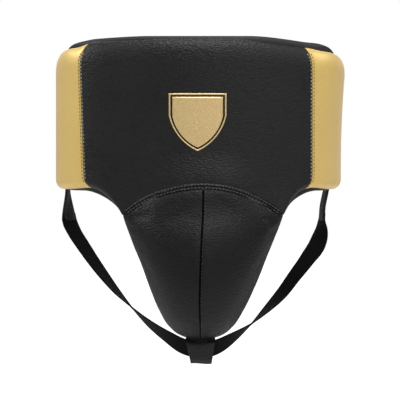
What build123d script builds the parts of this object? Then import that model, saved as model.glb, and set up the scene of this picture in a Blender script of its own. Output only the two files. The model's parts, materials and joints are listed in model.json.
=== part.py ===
"""Boxing groin protector, worn size medium, in millimetres.

The frame: +Z is up, the front faces -Y, and the origin is the middle of the waist opening, level with the
middle of the hip pads. A padded front wraps the belly and hips, a hard cup hangs below it in its own padded
cover, and two elastic rear bands meet at a hook-and-loop closure behind. A leather loop under the cup holds
the elastic leg strap, whose ends hang from short tabs under the hip pads.

Padding is built in layers that follow one plan curve, so each layer is named by its depth inside that curve.
"""

import os
from math import asin, cos, degrees, radians, sin

from build123d import *

os.makedirs("parts", exist_ok=True)

# Plan of the waist's outer face: tangent arcs from the front centre to the back centre. Each is a radius and
# the direction of the outward normal where it ends, in degrees from straight ahead.
FRONT_Y = -117.0
FRONT_ARC, CORNER_ARC, SIDE_ARC, HAUNCH_ARC = (340.0, 19.0), (84.0, 85.0), (200.0, 106.0), (80.0, 162.0)

# Depths inside the plan curve.
SKIN = 1.2  # artificial leather
FRONT_PAD_DEEP = 14.0
REAR_PAD_DEEP = 24.0
BAND_OUTER, BAND_INNER = 12.5, 15.5  # the elastic lies between the two pads

# Front view of the pads.
HIP_SEAM_X = {"left": -136.0, "right": 130.0}  # the belly piece is sewn in a little off centre
HIP_END = 98.0  # degrees round the plan curve
PAD_BOTTOM = -82.0
FRONT_PAD_TOP, REAR_PAD_TOP = 91.0, 96.0
TOP_ARCH_R = 1000.0
LEG_CUT = ((124.0, PAD_BOTTOM), (103.5, -92.5), (93.0, -111.0))
YOKE_TOP = -77.0
HIP_END_Y, HIP_TOP_CORNER_R, HIP_LOW_CORNER_R = 20.0, 16.0, 10.0
# In side view the pads' top runs down to the hip ends: how far under the crown it ends, and over it begins.
HIP_DROP, SIDE_RISE = 16.0, 20.0
SHOULDER_Y = -55.0  # behind this, nothing reaches below the pads' bottom
REACH = 220.0  # past every edge of the pads

# The cup: half-ellipse sections as height, half width and how far forward. The rim's plane slopes.
CUP_SECTIONS = (
    (-70.0, 93.0, -116.0),
    (-111.0, 93.0, -134.0),
    (-145.0, 79.5, -147.0),
    (-180.0, 68.0, -147.0),
    (-210.0, 55.0, -137.0),
    (-231.0, 44.0, -122.0),
    (-245.0, 31.0, -106.0),
    (-252.0, 18.0, -94.0),
)
CUP_TOP, CUP_TIP = CUP_SECTIONS[0][0], CUP_SECTIONS[-1][0]
RIM_TOP_Y, RIM_TIP_Y = -93.0, -72.5
RIM_SPARE = 20.0  # how far a section runs on behind the rim before it is cut
# Insets of the cup's layers inside its cover.
SHELL_OUTER, SHELL_INNER, LINER_OUTER, LINER_INNER = 8.0, 11.0, 15.0, 16.0
RIM_BEAD = 3.0
VENT_R, VENT_PITCH, VENT_COUNT, VENT_Z = 3.0, 18.0, (3, 4), -167.0

# Emblem: a plain shield on the belly.
EMBLEM_Z, EMBLEM_WIDE, EMBLEM_TALL, EMBLEM_THICK = -4.0, 66.0, 66.0, 0.5
EMBLEM_SHOULDER_Z, EMBLEM_BULGE = 4.0, (24.0, -17.0)

# Rear bands and closure. A pair is a span of x.
BAND_TALL = 96.0
BAND_SEWN_IN = 4.2  # degrees round the plan curve
HINGE_GAP = 0.9  # degrees round the plan curve
RIGHT_BAND_END_X, LEFT_BAND_END_X = 12.0, -2.0
LOOP_X, LOOP_TALL, LOOP_THICK = (-100.0, -4.0), 78.0, 1.2
HOOK_X, HOOK_TALL, HOOK_THICK = (-70.0, -14.0), 56.0, 0.9
HOOK_GAP = 0.3
TAB_X, TAB_TALL, TAB_THICK, TAB_CORNER_R = (-82.0, 10.0), 70.0, 2.0, 22.0
BASE_X, BASE_THICK = (12.0, 42.0), 1.8

# Crotch loop. It turns at the fold under the cup's tip, where its two leaves lie together.
CROTCH_Y, CROTCH_TURN_Z, CROTCH_FOOT_Z = -80.0, -254.4, -282.0
CROTCH_TOP_WIDE, CROTCH_FOOT_WIDE = 36.0, 24.0
CROTCH_DEEP, CROTCH_LEATHER, CROTCH_NECK_TALL = 7.6, 1.6, 3.0
ANCHOR_WIDE, ANCHOR_TOP_Z, ANCHOR_FOOT_Z = 30.0, -244.4, -252.4

# Leg strap and hangers: 20 mm elastic on 18 mm leather tabs.
STRAP_WIDE, STRAP_THICK = 20.0, 1.6
HANGER_WIDE, HANGER_THICK = 18.0, 3.2
STRAP_CENTRE_HALF, STRAP_CENTRE_Z = 17.0, -267.6
# Each station is a point and the turn of the webbing's face from straight ahead, in degrees.
LEFT_HANGER = (
    ((-155.0, 6.0, -73.0), 78.0),
    ((-155.0, 6.0, -85.0), 78.0),
    ((-155.0, 6.0, -102.0), 58.0),
    ((-153.5, 4.0, -120.0), 30.0),
)
RIGHT_HANGER = (
    ((152.0, 6.0, -73.0), -76.0),
    ((152.0, 6.0, -85.0), -76.0),
    ((147.0, 6.0, -102.0), -74.0),
    ((141.0, 4.0, -120.0), -68.0),
)
LEFT_STRAP = (
    LEFT_HANGER[-1],
    ((-148.0, 0.0, -132.0), 38.0),
    ((-138.5, -7.0, -146.5), 46.0),
    ((-125.5, -16.0, -165.0), 55.0),
    ((-111.0, -27.0, -184.0), 62.0),
    ((-95.5, -39.0, -202.5), 74.0),
    ((-79.0, -51.0, -219.0), 92.0),
    ((-57.0, -64.0, -238.0), 112.0),
    ((-37.0, -74.5, -252.0), 130.0),
    ((-20.0, -79.5, -262.5), 150.0),
)
RIGHT_STRAP = (
    RIGHT_HANGER[-1],
    ((140.0, 1.0, -131.0), -40.0),
    ((136.0, -5.0, -146.0), -12.0),
    ((123.0, -15.0, -164.5), -36.0),
    ((108.0, -27.0, -184.0), -46.0),
    ((94.0, -38.0, -202.5), -52.0),
    ((77.0, -51.0, -220.5), -70.0),
    ((58.0, -64.0, -239.0), -96.0),
    ((38.0, -74.5, -253.0), -124.0),
    ((20.0, -79.5, -263.0), -150.0),
)


def outward(angle):
    """The outward normal at that direction, in degrees from straight ahead."""
    return Vector(sin(radians(angle)), -cos(radians(angle)))


def plan_arcs():
    """Each arc of the right half as (centre, radius, end). The last one crosses the centre line behind."""
    arcs = []
    sizes = [FRONT_ARC, CORNER_ARC, SIDE_ARC, HAUNCH_ARC]
    centre = Vector(0, FRONT_Y + FRONT_ARC[0])
    for number, (radius, end) in enumerate(sizes):
        if number:
            previous_radius, previous_end = sizes[number - 1]
            centre = centre + outward(previous_end) * (previous_radius - radius)
        arcs.append((centre, radius, end))
    normal = outward(arcs[-1][2])
    reached = centre + normal * arcs[-1][1]
    back_radius = reached.X / normal.X
    arcs.append((reached - normal * back_radius, back_radius, 360.0 - arcs[-1][2]))
    return arcs


PLAN = plan_arcs()


def plan_point(angle, depth):
    """The point that far inside the plan curve, at that direction; a negative one is on the left."""
    arc = next(each for each in PLAN if abs(angle) <= each[2])
    point = arc[0] + outward(abs(angle)) * (arc[1] - depth)
    return Vector(point.X if angle >= 0 else -point.X, point.Y)


def back_angle(x, depth):
    """The direction at which the back arc has that x. Past 180 degrees x is negative."""
    return 180.0 - degrees(asin(x / (PLAN[-1][1] - depth)))


def plan_edges(depth, start, end):
    """Draws the plan curve at that depth between two directions."""
    corners = sorted(side * arc[2] for arc in PLAN[:-1] for side in (-1, 1))
    stops = [start, *(angle for angle in corners if start < angle < end), end]
    for low, high in zip(stops, stops[1:]):
        ThreePointArc(plan_point(low, depth), plan_point((low + high) / 2, depth), plan_point(high, depth))


def layer(outer, inner, start, end, low, high):
    """A curved slab of the waist between two depths, two directions and two heights."""
    with BuildPart() as slab:
        with BuildSketch(Plane.XY.offset(low)):
            with BuildLine():
                plan_edges(outer, start, end)
                plan_edges(inner, start, end)
                for angle in (start, end):
                    Line(plan_point(angle, outer), plan_point(angle, inner))
            make_face()
        extrude(amount=high - low)
    return slab.part


def yoke_seam():
    """Draws the seam that arches between the belly and the cup, in front view."""
    x, z = LEG_CUT[-1]
    ThreePointArc((-x, z), (0, YOKE_TOP), (x, z))


def front_view(top, inset):
    """Front view of a whole pad: arched top, leg cuts and yoke seam, drawn that far inside."""
    with BuildSketch(Plane.XZ) as view:
        with BuildLine():
            shoulder = top - REACH**2 / (2 * TOP_ARCH_R)
            ThreePointArc((-REACH, shoulder), (0, top), (REACH, shoulder))
            for side in (-1, 1):
                Line((side * REACH, shoulder), (side * REACH, PAD_BOTTOM))
                Line((side * REACH, PAD_BOTTOM), (side * LEG_CUT[0][0], PAD_BOTTOM))
                ThreePointArc(*((side * x, z) for x, z in LEG_CUT))
            yoke_seam()
        make_face()
        if inset:
            offset(amount=-inset, kind=Kind.INTERSECTION)
    return view.sketch


def side_view(top, inset):
    """Side view of a whole pad, drawn that far inside. It rounds the corners of the hip ends."""
    with BuildSketch(Plane.YZ) as view:
        with BuildLine():
            Polyline(
                (-REACH, top + SIDE_RISE - inset),
                (HIP_END_Y - inset, top - HIP_DROP - inset),
                (HIP_END_Y - inset, PAD_BOTTOM + inset),
                (SHOULDER_Y, PAD_BOTTOM + inset),
                (SHOULDER_Y, -REACH),
                (-REACH, -REACH),
                close=True,
            )
        make_face()
        rear = view.vertices().group_by(Axis.X)[-1].sort_by(Axis.Y)
        fillet(rear[1], HIP_TOP_CORNER_R)
        fillet(rear[0], HIP_LOW_CORNER_R)
    return view.sketch


def pad(outer, inner, end, top, inset):
    """A whole pad, hip to hip, between two depths."""
    with BuildPart() as whole:
        add(layer(outer, inner, -end, end, -REACH, REACH))
        extrude(front_view(top, inset), amount=REACH, both=True, mode=Mode.INTERSECT)
        extrude(side_view(top, inset), amount=REACH, both=True, mode=Mode.INTERSECT)
    return whole.part


def rim_plane(forward):
    """The cup's rim plane, that far forward of the rim. Its normal points forward."""
    slope = Vector(0, RIM_TIP_Y - RIM_TOP_Y, CUP_TIP - CUP_TOP)
    plane = Plane(origin=(0, RIM_TOP_Y, CUP_TOP), x_dir=(1, 0, 0), z_dir=slope.cross(Vector(1, 0, 0)))
    return plane.offset(forward)


def cup_solid(inset):
    """The cup's closed form, that far inside its cover, running on behind the rim."""
    squash = (CUP_TOP - CUP_TIP - inset) / (CUP_TOP - CUP_TIP)
    with BuildPart() as body:
        for height, half, front in CUP_SECTIONS:
            along = (CUP_TOP - height) / (CUP_TOP - CUP_TIP)
            rim = RIM_TOP_Y + (RIM_TIP_Y - RIM_TOP_Y) * along
            wide = half - inset
            with BuildSketch(Plane.XY.offset(CUP_TOP - (CUP_TOP - height) * squash)):
                with BuildLine():
                    EllipticalCenterArc((0, rim), wide, rim - front - inset, start_angle=180, arc_size=180)
                    Polyline((wide, rim), (wide, rim + RIM_SPARE), (-wide, rim + RIM_SPARE), (-wide, rim))
                make_face()
        loft()
    return body.part


def below_yoke():
    """Front view of everything under the yoke seam."""
    x, z = LEG_CUT[-1]
    with BuildSketch(Plane.XZ) as view:
        with BuildLine():
            yoke_seam()
            Polyline((x, z), (REACH, z), (REACH, 2 * CUP_TIP), (-REACH, 2 * CUP_TIP), (-REACH, z), (-x, z))
        make_face()
    return view.sketch


def cup_layer(outer, inner, rim_gap):
    """One layer of the cup between two insets, ending that far forward of the rim."""
    with BuildPart() as shell:
        add(cup_solid(outer))
        add(cup_solid(inner), mode=Mode.SUBTRACT)
        extrude(below_yoke(), amount=REACH, both=True, mode=Mode.INTERSECT)
        split(bisect_by=rim_plane(rim_gap), keep=Keep.TOP)
    return shell.part


def ribbon(stations, wide, thick):
    """Webbing through a row of stations, turning its face from one to the next."""
    points = [Vector(*place) for place, _ in stations]
    with BuildPart() as web:
        for number, (_, turn) in enumerate(stations):
            along = points[min(number + 1, len(points) - 1)] - points[max(number - 1, 0)]
            level = Plane(origin=points[number], x_dir=(0, 1, 0), z_dir=along)
            across = level.rotated((0, 0, turn + 90.0)).x_dir
            with BuildSketch(Plane(origin=points[number], x_dir=across, z_dir=along)):
                Rectangle(wide, thick)
        loft(ruled=True)
    return web.part


def save(shape, name):
    """Labels a finished piece and writes it."""
    shape.label = name
    export_step(shape, f"parts/{name}.step")


def band_layer(outer, inner, side, span, tall):
    """A patch of the rear bands between two depths over a span of x. The span may cross the centre line."""
    ends = sorted(back_angle(side * x, (outer + inner) / 2) for x in span)
    with BuildPart() as patch:
        add(layer(outer, inner, ends[0], ends[1], -tall / 2, tall / 2))
        if side < 0:
            mirror(about=Plane.YZ, mode=Mode.REPLACE)
    return patch.part


# Leather hangers, each sewn 9 mm up between the pads, and the webbing that hangs from them.
hangers = {}
STRAPS = {"left": (LEFT_HANGER, LEFT_STRAP), "right": (RIGHT_HANGER, RIGHT_STRAP)}
for side, (tab_stations, stations) in STRAPS.items():
    hangers[side] = ribbon(tab_stations, HANGER_WIDE, HANGER_THICK)
    save(hangers[side], f"hanger_{side}")
    with BuildPart() as strap:
        add(ribbon(stations, STRAP_WIDE, STRAP_THICK))
        add(hangers[side], mode=Mode.SUBTRACT)
    save(strap.part, f"leg_strap_{side}")
    print(f"leg_strap_{side} runs {strap.part.volume / (STRAP_WIDE * STRAP_THICK):.0f} mm")

# The ends of the rear bands that are sewn in between the pads.
with BuildPart() as band_anchor_right:
    add(layer(BAND_OUTER, BAND_INNER, HIP_END - BAND_SEWN_IN, HIP_END, -BAND_TALL / 2, BAND_TALL / 2))
save(band_anchor_right.part, "band_anchor_right")
with BuildPart() as band_anchor_left:
    mirror(band_anchor_right.part, about=Plane.YZ)
save(band_anchor_left.part, "band_anchor_left")
sewn_in = [*hangers.values(), band_anchor_right.part, band_anchor_left.part]

# The front pad: a leather cover over firm foam, each as a belly piece and two hip pieces.
with BuildPart() as front_foam:
    add(pad(SKIN, FRONT_PAD_DEEP, HIP_END - degrees(SKIN / SIDE_ARC[0]), FRONT_PAD_TOP, SKIN))
with BuildPart() as front_cover:
    add(pad(0, FRONT_PAD_DEEP, HIP_END, FRONT_PAD_TOP, 0))
    add(front_foam.part, mode=Mode.SUBTRACT)
    add(sewn_in, mode=Mode.SUBTRACT)
with BuildPart(mode=Mode.PRIVATE) as front_foam_open:
    add(front_foam.part)
    add(sewn_in, mode=Mode.SUBTRACT)
for kind, whole in (("cover", front_cover.part), ("foam", front_foam_open.part)):
    with BuildPart() as belly:
        add(whole)
        split(bisect_by=Plane.YZ.offset(HIP_SEAM_X["right"]), keep=Keep.BOTTOM)
        split(bisect_by=Plane.YZ.offset(HIP_SEAM_X["left"]), keep=Keep.TOP)
    save(belly.part, f"belly_{kind}")
    for side, keep in (("right", Keep.TOP), ("left", Keep.BOTTOM)):
        with BuildPart() as hip:
            add(whole)
            split(bisect_by=Plane.YZ.offset(HIP_SEAM_X[side]), keep=keep)
        save(hip.part, f"hip_{kind}_{side}")

# The rear pad against the body: soft foam in a leather lining that stands a little above the front pad.
with BuildPart() as rear_filling:
    end = HIP_END - degrees(SKIN / SIDE_ARC[0])
    add(pad(FRONT_PAD_DEEP, REAR_PAD_DEEP - SKIN, end, REAR_PAD_TOP, SKIN))
with BuildPart() as rear_lining:
    add(pad(FRONT_PAD_DEEP, REAR_PAD_DEEP, HIP_END, REAR_PAD_TOP, 0))
    add(rear_filling.part, mode=Mode.SUBTRACT)
    add(sewn_in, mode=Mode.SUBTRACT)
save(rear_lining.part, "rear_lining")
with BuildPart() as rear_foam:
    add(rear_filling.part)
    add(sewn_in, mode=Mode.SUBTRACT)
save(rear_foam.part, "rear_foam")

# The emblem: a plain heater shield printed in foil on the belly.
with BuildPart() as front_emblem:
    add(layer(-EMBLEM_THICK, 0, -FRONT_ARC[1], FRONT_ARC[1], -REACH, REACH))
    with BuildSketch(Plane.XZ) as shield:
        with BuildLine():
            half, top = EMBLEM_WIDE / 2, EMBLEM_Z + EMBLEM_TALL / 2
            foot = (0, EMBLEM_Z - EMBLEM_TALL / 2)
            Polyline((-half, EMBLEM_SHOULDER_Z), (-half, top), (half, top), (half, EMBLEM_SHOULDER_Z))
            for side in (-1, 1):
                bulge_x, bulge_z = EMBLEM_BULGE
                ThreePointArc((side * half, EMBLEM_SHOULDER_Z), (side * bulge_x, bulge_z), foot)
        make_face()
    extrude(amount=REACH, mode=Mode.INTERSECT)
save(front_emblem.part, "front_emblem")

# The end of the crotch loop that is sewn into the cup's tip.
with BuildPart() as crotch_tab_anchor:
    with Locations((0, CROTCH_Y, ANCHOR_TOP_Z)):
        stitched = (Align.CENTER, Align.CENTER, Align.MAX)
        Box(ANCHOR_WIDE, 2 * CROTCH_LEATHER, ANCHOR_TOP_Z - ANCHOR_FOOT_Z, align=stitched)
save(crotch_tab_anchor.part, "crotch_tab_anchor")

# The cup, from the outside in: leather in two panels, foam, hard shell with vents, foam and lining.
with BuildPart() as cup_cover:
    add(cup_layer(0, SKIN, 0))
    add(crotch_tab_anchor.part, mode=Mode.SUBTRACT)
for side, keep in (("right", Keep.TOP), ("left", Keep.BOTTOM)):
    with BuildPart() as panel:
        add(cup_cover.part)
        split(bisect_by=Plane.YZ, keep=keep)
    save(panel.part, f"cup_cover_{side}")
with BuildPart() as cup_foam:
    add(cup_layer(SKIN, SHELL_OUTER, RIM_BEAD))
    add(crotch_tab_anchor.part, mode=Mode.SUBTRACT)
save(cup_foam.part, "cup_foam")
with BuildPart() as cup_shell:
    add(cup_layer(SHELL_OUTER, SHELL_INNER, RIM_BEAD))
    with BuildSketch(Plane.XZ):
        with Locations((0, VENT_Z)):
            with GridLocations(VENT_PITCH, VENT_PITCH, *VENT_COUNT):
                Circle(VENT_R)
    extrude(amount=REACH, mode=Mode.SUBTRACT)
save(cup_shell.part, "cup_shell")
with BuildPart() as cup_inner_foam:
    add(cup_layer(SHELL_INNER, LINER_OUTER, RIM_BEAD))
save(cup_inner_foam.part, "cup_inner_foam")
with BuildPart() as cup_lining:
    add(cup_layer(LINER_OUTER, LINER_INNER, 0))
save(cup_lining.part, "cup_lining")
with BuildPart() as cup_rim:
    add(cup_layer(SKIN, LINER_OUTER, 0))
    split(bisect_by=rim_plane(RIM_BEAD), keep=Keep.BOTTOM)
    add(crotch_tab_anchor.part, mode=Mode.SUBTRACT)
save(cup_rim.part, "cup_rim")

# Rear bands of elastic, from the hip pads to the closure behind.
with BuildPart() as rear_band_right:
    end = back_angle(RIGHT_BAND_END_X, BAND_OUTER)
    add(layer(BAND_OUTER, BAND_INNER, HIP_END + HINGE_GAP, end, -BAND_TALL / 2, BAND_TALL / 2))
save(rear_band_right.part, "rear_band_right")
with BuildPart() as rear_band_left:
    end = back_angle(-LEFT_BAND_END_X, BAND_OUTER)
    add(layer(BAND_OUTER, BAND_INNER, HIP_END + HINGE_GAP, end, -BAND_TALL / 2, BAND_TALL / 2))
    mirror(about=Plane.YZ, mode=Mode.REPLACE)
save(rear_band_left.part, "rear_band_left")

# The closure: loop pile on the left band, hook pile inside a leather tab that is sewn to the right band.
loop_outer = BAND_OUTER - LOOP_THICK
hook_inner = loop_outer - HOOK_GAP
hook_outer = hook_inner - HOOK_THICK
with BuildPart() as loop_patch:
    add(band_layer(loop_outer, BAND_OUTER, -1, LOOP_X, LOOP_TALL))
save(loop_patch.part, "loop_patch")
with BuildPart() as hook_patch:
    add(band_layer(hook_outer, hook_inner, -1, HOOK_X, HOOK_TALL))
save(hook_patch.part, "hook_patch")
with BuildPart() as closure_tab:
    add(band_layer(hook_outer - TAB_THICK, hook_outer, 1, TAB_X, TAB_TALL))
    with BuildSketch(Plane.XZ):
        with Locations((sum(TAB_X) / 2, 0)):
            Rectangle(TAB_X[1] - TAB_X[0] + TAB_THICK, TAB_TALL)
            fillet(vertices().group_by(Axis.X)[0], TAB_CORNER_R)
    extrude(amount=-REACH, mode=Mode.INTERSECT)
save(closure_tab.part, "closure_tab")
with BuildPart() as closure_base:
    add(band_layer(BAND_OUTER - BASE_THICK, BAND_OUTER, 1, BASE_X, TAB_TALL))
save(closure_base.part, "closure_base")

# The crotch loop: a leather strip folded round the strap, its leaves together where it turns.
with BuildPart() as crotch_tab:
    deep, room = CROTCH_DEEP / 2, CROTCH_DEEP / 2 - CROTCH_LEATHER
    slot_top, slot_foot = CROTCH_TURN_Z - CROTCH_NECK_TALL, CROTCH_FOOT_Z + CROTCH_LEATHER
    with BuildSketch(Plane.YZ):
        with BuildLine():
            turn_top = (CROTCH_Y, CROTCH_TURN_Z + CROTCH_LEATHER)
            leaves = [(CROTCH_Y + side * CROTCH_LEATHER, CROTCH_TURN_Z) for side in (-1, 1)]
            ThreePointArc(leaves[0], turn_top, leaves[1])
            for side, leaf in zip((-1, 1), leaves):
                face_y = CROTCH_Y + side * deep
                Polyline(leaf, (face_y, slot_top), (face_y, CROTCH_FOOT_Z + deep))
            round_ends = [(CROTCH_Y + side * deep, CROTCH_FOOT_Z + deep) for side in (-1, 1)]
            ThreePointArc(round_ends[0], (CROTCH_Y, CROTCH_FOOT_Z), round_ends[1])
        make_face()
        with BuildLine():
            Line((CROTCH_Y + room, slot_top), (CROTCH_Y - room, slot_top))
            for side in (-1, 1):
                Line((CROTCH_Y + side * room, slot_top), (CROTCH_Y + side * room, slot_foot + room))
            inner_ends = [(CROTCH_Y + side * room, slot_foot + room) for side in (-1, 1)]
            ThreePointArc(inner_ends[0], (CROTCH_Y, slot_foot), inner_ends[1])
        make_face(mode=Mode.SUBTRACT)
    extrude(amount=CROTCH_TOP_WIDE / 2, both=True)
    with BuildSketch(Plane.XZ):
        with BuildLine():
            wide, top = CROTCH_TOP_WIDE / 2, CROTCH_TURN_Z + CROTCH_LEATHER
            foot = CROTCH_FOOT_WIDE / 2
            Polyline((-wide, top), (wide, top), (foot, CROTCH_FOOT_Z), (-foot, CROTCH_FOOT_Z), close=True)
        make_face()
    extrude(amount=REACH, mode=Mode.INTERSECT)
save(crotch_tab.part, "crotch_tab")
with BuildPart() as leg_strap_centre:
    with Locations((0, CROTCH_Y, STRAP_CENTRE_Z)):
        Box(2 * STRAP_CENTRE_HALF, STRAP_THICK, STRAP_WIDE)
save(leg_strap_centre.part, "leg_strap_centre")
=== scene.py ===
import json
from math import cos, pi, radians, sin, sqrt, tau

import bmesh
import bpy
import numpy as np
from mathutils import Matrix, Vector
from mathutils.bvhtree import BVHTree


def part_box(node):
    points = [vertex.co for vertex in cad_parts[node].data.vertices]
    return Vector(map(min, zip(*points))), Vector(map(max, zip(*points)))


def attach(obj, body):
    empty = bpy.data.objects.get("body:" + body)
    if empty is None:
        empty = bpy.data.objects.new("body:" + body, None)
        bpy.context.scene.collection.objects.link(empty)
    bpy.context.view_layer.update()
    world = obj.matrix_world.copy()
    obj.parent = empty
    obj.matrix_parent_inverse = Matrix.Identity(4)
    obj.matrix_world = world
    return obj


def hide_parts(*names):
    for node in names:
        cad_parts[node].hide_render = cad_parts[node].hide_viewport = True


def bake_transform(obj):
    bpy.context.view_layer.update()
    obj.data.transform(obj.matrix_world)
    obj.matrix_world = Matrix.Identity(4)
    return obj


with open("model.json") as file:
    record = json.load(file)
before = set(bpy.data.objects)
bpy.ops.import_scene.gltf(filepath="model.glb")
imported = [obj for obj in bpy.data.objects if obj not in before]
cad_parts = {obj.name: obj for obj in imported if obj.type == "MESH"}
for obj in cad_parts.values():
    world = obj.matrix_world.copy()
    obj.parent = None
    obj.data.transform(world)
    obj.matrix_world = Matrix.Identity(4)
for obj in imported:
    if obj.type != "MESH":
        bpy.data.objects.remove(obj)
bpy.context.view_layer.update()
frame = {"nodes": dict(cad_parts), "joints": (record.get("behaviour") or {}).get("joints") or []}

# ---------------------------------------------------------------------------------------------------------
# Driving dimensions, in metres unless a name says otherwise. They follow the frame's own.

# Plan of the waist's outer face: tangent arcs, each a radius and the direction where it ends, in degrees.
FRONT_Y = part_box("belly_cover")[0].y
PLAN_ARCS = ((0.340, 19.0), (0.084, 85.0), (0.200, 106.0), (0.080, 162.0))
HIP_END = 98.0  # degrees round the plan curve
FACE_DEPTH = 0.0012  # the front pad's face lies this far inside the plan curve
MID_DEPTH = 0.014  # where the front pad meets the rear pad
REAR_DEPTH = 0.024

FRONT_TOP = 0.0912
REAR_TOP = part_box("rear_lining")[1].z - 0.0012
PAD_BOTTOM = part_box("hip_cover_right")[0].z
# The pads' upper edges: height and half length of the level part, then on the left and right how much
# lower they get by the hip seams and how much lower again just beyond them.
FRONT_EDGE = (FRONT_TOP, 0.035, (0.0036, 0.0113), (0.0062, 0.0028))
REAR_EDGE = (REAR_TOP, 0.060, (0.0036, 0.0080), (0.0020, 0.0))
DROP_END, SHOULDER = 0.152, (0.128, 0.150)  # where the first is reached and the second happens, in x
LEG_CUT = ((0.1290, PAD_BOTTOM), (0.1062, -0.0920), (0.0924, -0.1110))
YOKE_TOP = -0.077
SEAM_LEFT, SEAM_RIGHT = (corner.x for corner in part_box("belly_cover"))
SEAM_CURL = (0.0055, 0.0050, 0.0050)  # how far the hip seams curve inward at the top, bottom left and right
CURL_TOP, CURL_LOW = (0.064, 0.090), (-0.084, -0.066)  # the heights over which they do
SEAM_SLANT, SEAM_LEVEL = 0.045, -0.013  # the left seam leans outward going up, about this height
HIP_ROLL_TOP, HIP_ROLL_LOW = -0.0090, -0.0010  # how much rounder the hip panels' edges are
HIP_START = (-0.004, 0.034)  # how far past the seam they get so
TOP_ROLL = 0.0175  # the front pad's upper edge is rounder than its lower one by this much
# How the pads' edges taper towards the hip ends: how much at the end, and how far from it the taper starts.
FRONT_FALL, REAR_FALL, LOW_RISE = (0.0150, 0.100), (0.0180, 0.106), (0.0050, 0.070)
HIP_ROLL_THIN = 0.0045  # and their rounding is this much shallower
HIP_CORNER_TOP, HIP_CORNER_LOW = 0.016, 0.010
REAR_HANGS, HANG_START = 0.0012, (0.100, 0.120)  # how far the rear pad reaches below its frame, from what x
SEAM_LIFT = 0.0025  # how far the front pad's lower edge rises at the hip seams, and over what x
LIFT_START, LIFT_END = (0.106, 0.126), (0.134, 0.166)
BACK_ROLL = 0.0022
# Each pad's rounded edges, as height and depth, and how far from the hip end its thickness starts to fall.
FRONT_ROLLS, FRONT_END_R = (0.0095, 0.0115), 0.014
REAR_ROLLS, REAR_END_R = (0.0060, 0.0075), 0.012
REAR_LIP = (0.0022, 0.0018, 0.0010)  # the rear pad's crest: how wide, and how far it moves forward and down
# How each padded form is puffed: the pressure in it, how much its cover grows, how far a point may move, and
# how stiff the cover is in stretch and in bending.
PUFF_FRAMES = 14
FRONT_PUFF = {"pressure": 7.0, "swell": 0.0008, "cap": 0.0018, "stiffness": 25, "bending": 5.0}
REAR_PUFF = {"pressure": 5.0, "swell": 0.012, "cap": 0.0025, "stiffness": 10, "bending": 1.0}
CUP_PUFF = {"pressure": 0.6, "swell": 0.004, "cap": 0.0008, "stiffness": 15, "bending": 2.0}
ROLL_PUFF = {"pressure": 2.0, "swell": 0.03, "cap": 0.0015, "stiffness": 10, "bending": 0.5}
SEAM_HELD = 0.0030  # the front pad is held this close to its hip seams
# What a seam does to the leather beside it: where, how wide and how deep. A negative depth stands out.
HIP_RELIEF = ((0.0, 0.0008, 0.0012), (0.0022, 0.0009, 0.0003))
YOKE_RELIEF = ((0.0018, 0.0009, -0.0004), (0.0036, 0.0008, 0.0012))
CUP_SEAM_RELIEF = ((0.0, 0.0008, 0.0028),)
CUP_YOKE_RELIEF = ((0.0, 0.0007, 0.0005), (0.0034, 0.0009, 0.0018))
HIP_FLARE, FLARE_X = (0.0020, 0.0013), (0.120, 0.155)  # the left and right hips stand out past the plan
RIGHT_TAPER, TAPER_X = 0.0052, (0.132, 0.160)  # the right hip is this much narrower at the bottom
TAPER_TOP, TAPER_TALL = 0.060, 0.115  # the height where that starts, and over how much it happens

# The cup: height, half width, ridge and rim. The frame's sections, with the tip rounded off.
CUP_OUTLINE = (
    (-0.0700, 0.0975, -0.1150),
    (-0.1110, 0.0918, -0.1330),
    (-0.1370, 0.0827, -0.1440),
    (-0.1650, 0.0717, -0.1475),
    (-0.1930, 0.0610, -0.1435),
    (-0.2200, 0.0490, -0.1310),
    (-0.2385, 0.0375, -0.1155),
    (-0.2480, 0.0265, -0.1030),
    (-0.2530, 0.0145, -0.0930),
    (-0.2545, 0.0020, -0.0850),
)
RIM_TOP, RIM_TIP = (-0.0930, -0.070), (-0.0725, -0.2545)
RIM_ROLL_TOP = -0.101
# The soft body leans to the waist's right: height, how far at its middle and how far at its edges.
LEAN = (
    (-0.2550, 0.0012, 0.0014),
    (-0.2090, 0.0008, 0.0030),
    (-0.1740, 0.0018, 0.0034),
    (-0.1510, 0.0027, 0.0030),
    (-0.1280, 0.0036, 0.0034),
    (-0.1110, 0.0044, 0.0038),
    (-0.1040, 0.0046, 0.0033),
    (-0.0920, 0.0048, 0.0016),
    (-0.0810, 0.0048, 0.0000),
    (-0.0200, 0.0000, 0.0000),
)
CUP_LONG = 0.17  # from the yoke to the tip, along the ridge
LEAN_EDGE = (0.020, 0.085)  # from the middle to the edges, in x
YOKE_BULGE = 0.0068  # how far the belly swells forward to meet the cup
YOKE_ROLL = (0.0016, 0.0026)
# Where these end on each side, in x: the yoke's own edge, its seam's relief, the belly's swelling, the cup's
# join to the belly and the yoke's stitches.
YOKE_END, RELIEF_END, BULGE_END, JOIN_END = (0.092, 0.110), (0.084, 0.094), (0.020, 0.088), (0.084, 0.100)
YOKE_REACH = 0.088
BULGE_TALL, JOIN_TALL = (0.003, 0.046), 0.016  # and how far above or below the yoke seam
KEEL, KEEL_WIDE = 0.0022, 0.018  # the cup's face stands out along its centre seam
LIP_R, LIP_TURN = 0.0068, 1.75
CUP_SKIN = 0.0014
ROLL_INSET, ROLL_BACK = 0.0082, 0.0030  # the rim's roll lies this far inside the outline and behind the rim
ROLL_WIDE, ROLL_DEEP = 0.0072, 0.0058
ROLL_RINGS, ROLL_SIDES = 110, 20

SHIELD_SHOULDER, SHIELD_BULGE = 0.008, (0.024, -0.017)
EMBLEM_SHIFT = -0.002
BORDER_SCALES, FIELD_SCALE = (0.999, 0.972, 0.945), 0.875  # parts of the shield's own size
PRINT_LIFT, PRINT_THICK = 0.00035, 0.0003

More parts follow.
